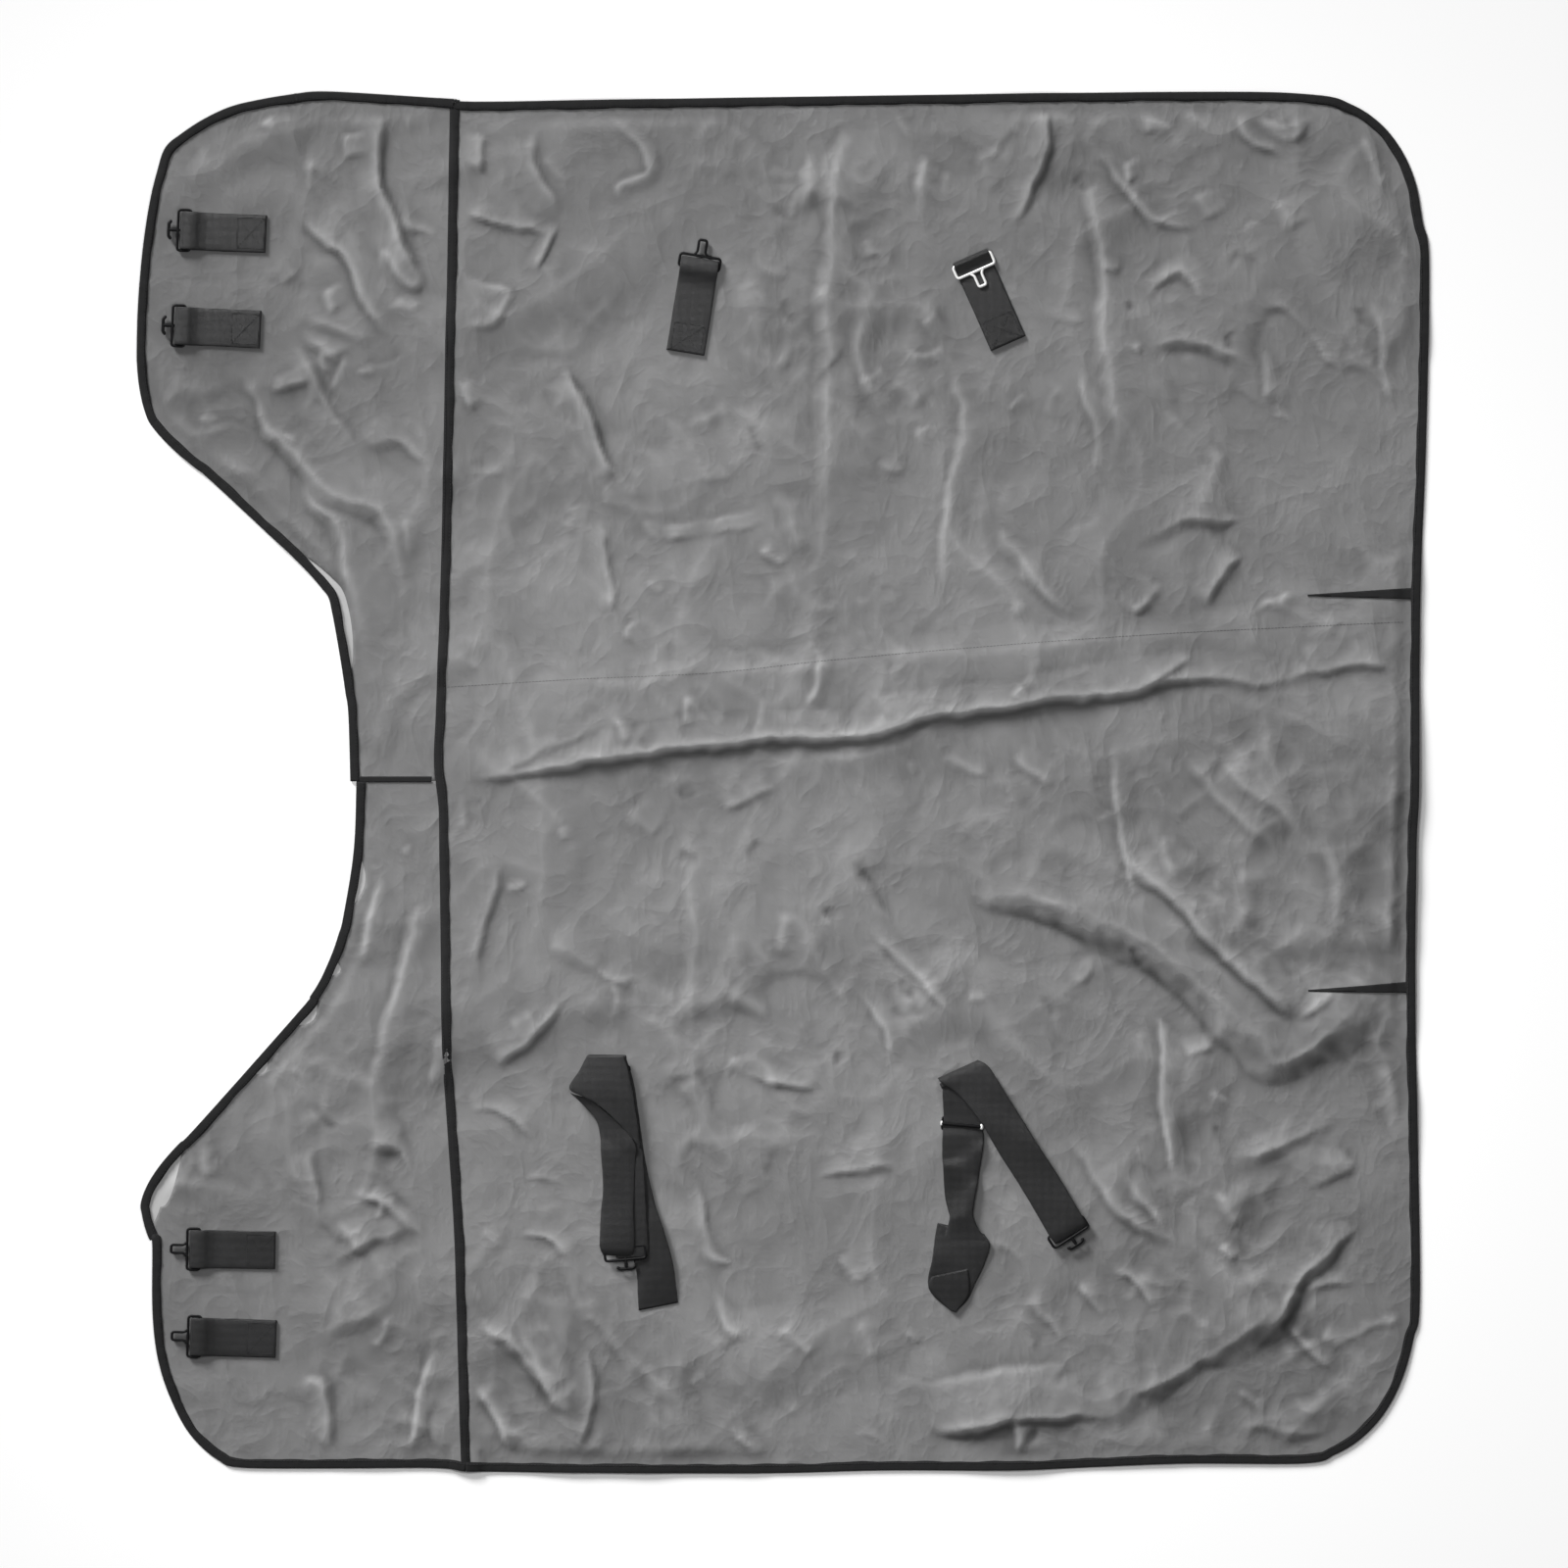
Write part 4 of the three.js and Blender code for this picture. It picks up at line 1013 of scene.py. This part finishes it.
def ribbon(name, frame_of, rows, pitch=0.0035):
    """Webbing through cross-lines in a strap's own frame, in mm: right edge, left edge (along, across,
    height) and how far the middle stands proud."""
    start, direction = frame_of
    rows = dense(smooth(np.array(rows, float) * MM, 8), pitch)
    rows[:, [1, 4]] += EDGE_WANDER * rng.standard_normal((len(rows), 2)).cumsum(axis=0) / 6

    def placed(part):
        flat_place = start + part[:, :1] * direction + part[:, 1:2] * left_of(direction)
        return np.column_stack([flat_place, part[:, 2] + LIFT])

    right, left, proud = placed(rows[:, 0:3]), placed(rows[:, 3:6]), rows[:, 6]
    s = np.array(RIM)[None, :, None]
    middle = right[:, None, :] * (1 - s) + left[:, None, :] * s
    middle[:, :, 2] += proud[:, None] * (4 * s * (1 - s))[:, :, 0]
    normal = np.cross(np.gradient(middle, axis=0), np.gradient(middle, axis=1))
    normal /= np.linalg.norm(normal, axis=2)[:, :, None] + 1e-12
    half = WEBBING / 2 * np.sqrt(np.clip(1 - np.abs(2 * s - 1) ** 12, 0.02, 1))
    top, under = middle + normal * half, middle - normal * half
    count, width = top.shape[:2]
    lower = count * width
    faces = []
    for i in range(count - 1):
        for k in range(width - 1):
            a, b = i * width + k, (i + 1) * width + k
            faces.append((a, b, b + 1, a + 1))
            faces.append(tuple(n + lower for n in (a + 1, b + 1, b, a)))
    rim = [i * width for i in range(count)] + [(count - 1) * width + k for k in range(1, width)]
    rim += [i * width + width - 1 for i in range(count - 2, -1, -1)] + list(range(width - 2, 0, -1))
    for a, b in zip(rim, rim[1:] + rim[:1]):
        faces.append((b, a, a + lower, b + lower))
    vertices = np.vstack([top.reshape(-1, 3), under.reshape(-1, 3)])
    return face_out(add_mesh(name, vertices, faces, webbing_cloth))


def levels(width, path):
    """Cross-lines of a straight strap from its side view: (along, height) in mm."""
    half = width / MM / 2
    return [(u, -half, z, u, half, z, 0) for u, z in path]


def join_into(name, pieces):
    """One object from several, under a new name."""
    with bpy.context.temp_override(active_object=pieces[0], selected_editable_objects=pieces):
        bpy.ops.object.join()
    pieces[0].name = name
    return pieces[0]


def strap_piece(strap, pieces):
    """One strap from its ribbons, riding on its body."""
    name = strap.removesuffix("_strap") + "_webbing"
    piece = join_into(name, pieces) if len(pieces) > 1 else pieces[0]
    piece.name = piece.data.name = name
    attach(piece, STRAPS[strap][1])
    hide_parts(strap)


# A sewn box with a cross: ends along the strap in mm and across it in shares of its width.
BOX_STITCH = ((4, -0.4, 4, 0.4), (4, 0.4, 40, 0.4), (40, 0.4, 40, -0.4), (40, -0.4, 4, -0.4),
              (4, -0.4, 40, 0.4), (4, 0.4, 40, -0.4))
BOX_LEVEL = 0.0055 + LIFT
for strap in ("right_upper_tab", "right_lower_tab", "left_upper_tab", "left_lower_tab",
              "right_front_anchor", "right_rear_anchor"):
    start, direction, length, width = strap_frames[strap]
    end = length / MM
    out = [(1, 2.9), (20, 2.9), (60, 2.9), (end - 20, 2.9)]
    back = [(60, 4.7), (30, 4.7), (1, 4.7)]
    if strap == "right_rear_anchor":
        turn = [(end - 3, 3.2), (end - 0.8, 5.0), (end - 0.9, 7.0), (end - 3, 8.6), (end - 7, 8.4),
                (end - 13, 5.6), (end - 20, 4.7)]
    else:
        turn = [(end - 5, 3.0), (end - 1.8, 3.8), (end - 0.9, 6.1), (end - 1.8, 8.2), (end - 5, 9.1),
                (end - 14, 9.3), (end - 20, 8.4), (end - 27, 6.4), (end - 36, 5.0), (end - 46, 4.7)]
    strap_piece(strap, [ribbon(strap + "_webbing", (start, direction), levels(width, out + turn + back))])
    side_step = left_of(direction)
    box = []
    for u0, v0, u1, v1 in BOX_STITCH:
        ends = [start + direction * u * MM + side_step * v * width for u, v in ((u0, v0), (u1, v1))]
        box.append(np.array([(*end, BOX_LEVEL) for end in ends]))
    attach(stitches(strap + "_stitches", box), STRAPS[strap][1])


def from_fold(strap):
    """A base strap's frame measured from its fold, as the loose strap's is."""
    start, direction, length, _ = strap_frames[strap]
    return start + direction * length, -direction


front_loose = strap_frames["left_front_loose_strap"][:2]
rear_loose = strap_frames["left_rear_loose_strap"][:2]
front_base, rear_base = from_fold("left_front_base_strap"), from_fold("left_rear_base_strap")
# Each ply of the surcingles as cross-lines in its strap's frame, in mm: right edge, left edge, proud middle.
RIBBONS = {
    "front_twist": (front_loose, (
        (-1, 24, 12, -7, -25, 12, 0), (15, 28, 12.5, 12, -37, 14, 0.5), (31, 30, 13, 34, -53, 16, 1),
        (50, 32, 13.5, 48, -35, 16.5, 0.5), (69, 33, 13.5, 60, -17, 16, 0), (96, 35, 13, 85, 6, 15, 0),
        (125, 34, 12.5, 117, 30, 13, 0))),
    "front_fall": (front_loose, (
        (53, -25, 12.5, 41, -53, 10, -0.5), (76, -3, 12.8, 61, -35, 9.8, -0.5),
        (98, 18, 12.6, 82, -21, 9.8, 0), (122, 29, 13.6, 104, -18, 10.2, 0.5),
        (140, 26, 11.4, 125, -19, 13, 0.8),
        (181, 20, 11.6, 173, -21, 12.6, 0.8), (214, 16, 12.6, 204, -27, 11.6, 0.8),
        (243, 14, 12.6, 233, -31, 12.4, 0.8), (260, 12, 12.2, 252, -33, 12.2, 0.8),
        (269, 10, 9.4, 263, -30, 9.4, 0.6))),
    "front_under": (front_loose, (
        (116, 37, 9.8, 113, 4, 9.8, 0.3), (163, 36, 9.8, 158, -6, 9.8, 0.3),
        (216, 34, 9.8, 211, -11, 9.8, 0.3), (258, 32, 9.8, 254, -13, 9.8, 0.3),
        (272, 27, 9.6, 269, -12, 9.6, 0.3))),
    "rear_fall": (rear_loose, (
        (4, 29, 10.6, -5, -30, 10.6, 0), (19, 36, 12.6, 4, -29, 12.2, 0.3),
        (51, 36, 12.8, 27, -19, 12.2, 0.5), (94, 35, 11.2, 73, -14, 13.4, 0.6),
        (144, 34, 14.2, 129, -16, 12, 0.6),
        (199, 34, 12, 189, -16, 13.6, 0.6), (243, 32, 13, 235, -18, 12.4, 0.8),
        (263, 32, 12.4, 257, -19, 12.4, 0.8), (272, 31, 9.8, 270, -18, 9.8, 0.5))),
    "rear_base": (rear_base, (
        (-2, 26, 8.6, 16, -26, 8.6, 0.3), (36, 30, 8, 45, -22, 8, 0.2), (69, 33, 5.8, 74, -18, 5.8, 0.2),
        (89, 38, 6.2, 93, -18, 6.6, 1.2), (106, 38, 9.6, 127, -15, 5.4, -0.6),
        (138, 37, 5.6, 132, -14, 9.4, 1.6), (157, 35, 9.8, 172, -8, 6, 0.6),
        (184, 33, 10.5, 192, -2, 6.6, 1.6), (198, 34, 10, 203, 1, 8, 2), (217, 45, 7.5, 222, -2, 6.4, 1),
        (231, 57, 6.4, 240, -8, 5.6, 0.4))),
    "rear_plate": (rear_base, (
        (220, 50, 5.2, 211, -14, 5.2, 0.3), (235, 59, 6.6, 231, -16, 5.2, 0.9),
        (262, 54, 5, 260, -17, 6.4, 0.6), (289, 44, 4.6, 290, -20, 4.6, 0.2),
        (311, 36, 4.4, 308, -13, 4.4, 0.2), (329, 21, 4.4, 327, 13, 4.4, 0))),
    "rear_facet": (rear_base, (
        (269, 32, 7.2, 284, -15, 7, 0.4), (287, 36, 6.8, 296, -19, 6.6, 0.6),
        (306, 36, 6.4, 308, -10, 6.2, 0.5), (329, 22, 6.2, 327, 14, 6.2, 0))),
    "front_base": (front_base, (
        (5, 27, 7.4, -2, -21, 7.4, 0), (46, 30, 6.6, 38, -21, 6.6, 0), (139, 25, 6.2, 135, -26, 6.2, 0.2),
        (201, 26, 6.4, 205, -24, 6.4, 0.3), (235, 30, 8, 241, -20, 5.8, 0.8),
        (283, 34, 7.8, 291, -17, 5.2, 1.2), (319, 32, 5.6, 320, -21, 4.4, 0.8),
        (342, 30, 3.2, 342, -24, 3.2, 0))),
}
made = {key: ribbon(key, place, rows) for key, (place, rows) in RIBBONS.items()}
strap_piece("left_front_loose_strap", [made["front_twist"], made["front_fall"], made["front_under"]])
strap_piece("left_rear_loose_strap", [made["rear_fall"]])
strap_piece("left_front_base_strap", [made["front_base"]])
strap_piece("left_rear_base_strap", [made["rear_base"], made["rear_plate"], made["rear_facet"]])

# Where each surcingle turns back on itself: cross-lines on the sheet in mm, base to loose strap.
SHEET_FRAME = (np.zeros(2), np.array([1.0, 0.0]))
LOOP_PITCH = 0.0012
FOLD_LOOPS = {
    "front": ((-212, -377, 7.4, -261, -379, 7.4, 0), (-213, -366, 9.6, -264, -366, 9.6, 0),
              (-216, -372, 12, -265, -372, 12, 0)),
    "rear": ((266, -391, 8.4, 213, -412, 8.4, 0), (264, -379, 9.5, 210, -404, 9.5, 0),
             (266, -385, 10.8, 213, -409, 10.8, 0)),
}
for end, rows in FOLD_LOOPS.items():
    loop = ribbon("left_" + end + "_fold_webbing", SHEET_FRAME, rows, LOOP_PITCH)
    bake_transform(loop)

# ---------------------------------------------------------------- wire fittings

# Sizes of the wire fittings, in mm.
WIRE_RADIUS = 1.8
TUBE_SIDES = 14
FRAME_DEPTH = 17
FRAME_HALF = 27.5
BEND = 4
FITTING_LEVEL = 6.1
SURCINGLE_FITTING_LEVEL = 9.6


def rounded(corners, radius, closed):
    """A polyline through (along, across, height) corners with its bends rounded."""
    corners = [np.array(c, float) for c in corners]
    out = [] if closed else [corners[0]]
    count = len(corners)
    for i in range(0 if closed else 1, count if closed else count - 1):
        here, before, after = corners[i], corners[i - 1], corners[(i + 1) % count]
        a = here + (before - here) / np.linalg.norm(before - here) * radius
        c = here + (after - here) / np.linalg.norm(after - here) * radius
        for t in np.linspace(0, 1, 6):
            out.append((1 - t) ** 2 * a + 2 * t * (1 - t) * here + t * t * c)
    return np.array(out + ([out[0]] if closed else [corners[-1]]))


# The rounded end of a wire: its rings' radius and how far they stand past the end, in shares of the radius.
WIRE_END = ((0.05, 1.0), (0.6, 0.8), (0.9, 0.45))


def tube(frame_of, path, radius, level, finish, closed=False, flatten=1.0):
    """A round wire along a path in mm in a strap's own frame."""
    start, direction = frame_of
    path = np.array(path, float) * MM
    count = len(path)
    if closed:
        tangent = np.roll(path[:-1], -1, axis=0) - np.roll(path[:-1], 1, axis=0)
        tangent = np.vstack([tangent, tangent[:1]])
    else:
        tangent = np.gradient(path, axis=0)
    tangent /= np.linalg.norm(tangent, axis=1)[:, None] + 1e-12
    across = np.cross(tangent, (0, 0, 1))
    across /= np.linalg.norm(across, axis=1)[:, None] + 1e-12
    up = np.cross(across, tangent)
    rings = []
    spots = [(i, radius, 0) for i in range(count)]
    if not closed:
        first_end = [(0, radius * size, -radius * past) for size, past in WIRE_END]
        last_end = [(count - 1, radius * size, radius * past) for size, past in reversed(WIRE_END)]
        spots = first_end + spots + last_end
    for i, size, shift in spots:
        centre = path[i] + tangent[i] * shift * MM
        angles = np.arange(TUBE_SIDES) * 2 * math.pi / TUBE_SIDES
        ring = (centre + size * MM * (np.cos(angles)[:, None] * across[i]
                                      + flatten * np.sin(angles)[:, None] * up[i]))
        rings.append(ring)
    local = np.array(rings).reshape(-1, 3)
    xy = start + local[:, :1] * direction + local[:, 1:2] * left_of(direction)
    vertices = np.column_stack([xy, local[:, 2] + level * MM + LIFT])
    faces = []
    for i in range(len(rings) - 1):
        for k in range(TUBE_SIDES):
            here, after = i * TUBE_SIDES, (i + 1) * TUBE_SIDES
            n = (k + 1) % TUBE_SIDES
            faces.append((here + k, here + n, after + n, after + k))
    if not closed:
        faces.append(tuple(range(TUBE_SIDES)))
        faces.append(tuple((len(rings) - 1) * TUBE_SIDES + k for k in range(TUBE_SIDES)))
    piece = add_mesh("wire", vertices, faces, finish)
    if closed:
        work = bmesh.new()
        work.from_mesh(piece.data)
        bmesh.ops.remove_doubles(work, verts=work.verts, dist=1e-7)
        work.to_mesh(piece.data)
        work.free()
    return face_out(piece)


def wire_frame(place, level, finish):
    """The rectangular wire loop that the webbing passes through."""
    ring = rounded([(0, -FRAME_HALF, 0), (FRAME_DEPTH, -FRAME_HALF, 0), (FRAME_DEPTH, FRAME_HALF, 0),
                    (0, FRAME_HALF, 0)], BEND, True)
    return tube(place, ring, WIRE_RADIUS, level, finish, closed=True)


def hook(place, level, finish):
    """A T hook on its frame."""
    stem = tube(place, [(FRAME_DEPTH - 1, 0, 0), (22, 0, 0), (29, 0, 0)], 2.3, level, finish, flatten=0.7)
    bar = rounded([(27.2, -11.2, 0), (29.5, -8.5, 0), (29.5, 8.5, 0), (27.2, 11.2, 0)], 2.2, False)
    return [wire_frame(place, level, finish), stem, tube(place, bar, 2.2, level, finish, flatten=0.75)]


def eye(place, level, finish):
    """A narrow wire eye on its frame."""
    loop = rounded([(FRAME_DEPTH, -9.5, 0), (FRAME_DEPTH + 5, -5.3, 0), (38.6, -5.3, 0), (38.6, 5.3, 0),
                    (FRAME_DEPTH + 5, 5.3, 0), (FRAME_DEPTH, 9.5, 0)], 3.0, False)
    return [wire_frame(place, level, finish), tube(place, loop, WIRE_RADIUS, level, finish)]


def slider(place, level, finish, end_finish):
    """A slider: the rail under the webbing, the bar over it and the bar's two ends."""
    rail = rounded([(-8.5, -26, -4.6), (8.5, -26, -4.6), (8.5, 26, -4.6), (-8.5, 26, -4.6)], 3, True)
    bar = rounded([(0, -27, -3), (0, -26, 0), (0, 26, 0), (0, 27, -3)], 0.8, False)
    ends = [tube(place, [(-1.5, v, -0.6), (0, v, -0.4), (1.5, v, -0.6)], size, level, end_finish)
            for v, size in ((27, 1.6), (-27.4, 2.5))]
    return [tube(place, rail, 1.4, level, finish, closed=True),
            tube(place, bar, 2.5, level, finish, flatten=0.7)] + ends


def finished(fitting, parts):
    """One fitting from its wires, riding on its body, which has the same name."""
    piece = join_into(fitting + "_wire", parts)
    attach(piece, fitting)
    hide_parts(fitting)


BAR_DEPTH = 0.014
FOLDED_BAR_DEPTH = 0.005
REAR_SLIDER_LEVEL = 8.2
FRONT_SLIDER_LEVEL = 6.6
REAR_HOOK_SHIFT = 0.005  # the rear hook sits off the middle of its strap
REAR_SLIDER_SHIFT = -0.006  # the rear slider sits against the strap's far edge
for strap, (fitting, _) in STRAPS.items():
    start, direction, length, _ = strap_frames[strap]
    if fitting.endswith("slider"):
        centre = box_centre(fitting)[:2]
        level, end_finish = FRONT_SLIDER_LEVEL, black_steel
        if fitting == "left_rear_slider":
            centre = centre + left_of(direction) * REAR_SLIDER_SHIFT
            # The rear slider's bar ends get the bright finish as a painted glint.
            level, end_finish = REAR_SLIDER_LEVEL, painted_glint_finish
        finished(fitting, slider((centre, direction), level, black_steel, end_finish))
        continue
    folded = fitting == "right_rear_eye"
    bar = start + direction * (length - (FOLDED_BAR_DEPTH if folded else BAR_DEPTH))
    if fitting == "left_rear_hook":
        bar = bar + left_of(direction) * REAR_HOOK_SHIFT
    place = (bar, -direction if folded else direction)
    level = SURCINGLE_FITTING_LEVEL if "loose" in strap else FITTING_LEVEL
    # The folded eye gets the bright finish as a painted reflection.
    finish = painted_glint_finish if folded else black_steel
    parts = (hook if fitting.endswith("hook") else eye)(place, level, finish)
    finished(fitting, parts)

# ---------------------------------------------------------------- floor, light and camera

FLOOR_SIZE = 14.0
half = FLOOR_SIZE / 2
floor_material, _, _ = material("studio_floor", (0.97, 0.97, 0.97), 0.9)
floor = add_mesh("studio_floor", [(-half, -half, 0), (half, -half, 0), (half, half, 0), (-half, half, 0)],
                 [(0, 1, 2, 3)], floor_material, False)

scene = bpy.context.scene
scene.view_settings.view_transform = "Standard"
world = bpy.data.worlds.new("studio")
world.use_nodes = True
world.node_tree.nodes["Background"].inputs["Color"].default_value = (1, 1, 1, 1)
world.node_tree.nodes["Background"].inputs["Strength"].default_value = 0.2
scene.world = world
sun = bpy.data.lights.new("soft_key", "SUN")
sun.energy = 6.0
sun.angle = math.radians(18)
lamp = bpy.data.objects.new("soft_key", sun)
lamp.rotation_euler = Vector((0.72, -1.0, -0.43)).to_track_quat("-Z", "Y").to_euler()
scene.collection.objects.link(lamp)
fill = bpy.data.lights.new("soft_overhead", "AREA")
fill.shape = "DISK"
fill.size = 0.7
fill.energy = 13
fill_lamp = bpy.data.objects.new("soft_overhead", fill)
fill_lamp.location = (-0.2, 0.0, 1.6)
scene.collection.objects.link(fill_lamp)

FRAME_WIDTH = 2.121
LENS = 85
SENSOR = 36
camera_data = bpy.data.cameras.new("overhead")
camera_data.lens = LENS
camera_data.sensor_width = SENSOR
camera = bpy.data.objects.new("overhead", camera_data)
camera.location = (0, 0, FRAME_WIDTH * LENS / SENSOR)
scene.collection.objects.link(camera)
scene.camera = camera

# ---------------------------------------------------------------- declared sheets and sizes


shown = {piece.name: piece for piece in bpy.data.objects}
body_pieces = [body_binding, body_stitches, seam_tape, tape_stitches, fold_stitches]
body_pieces += [shown[name + "_cloth"] for name in ("withers_tape", "right_tail_dart", "left_tail_dart")]
for side in ("right", "left"):
    outer = slipped(front_outline[side])
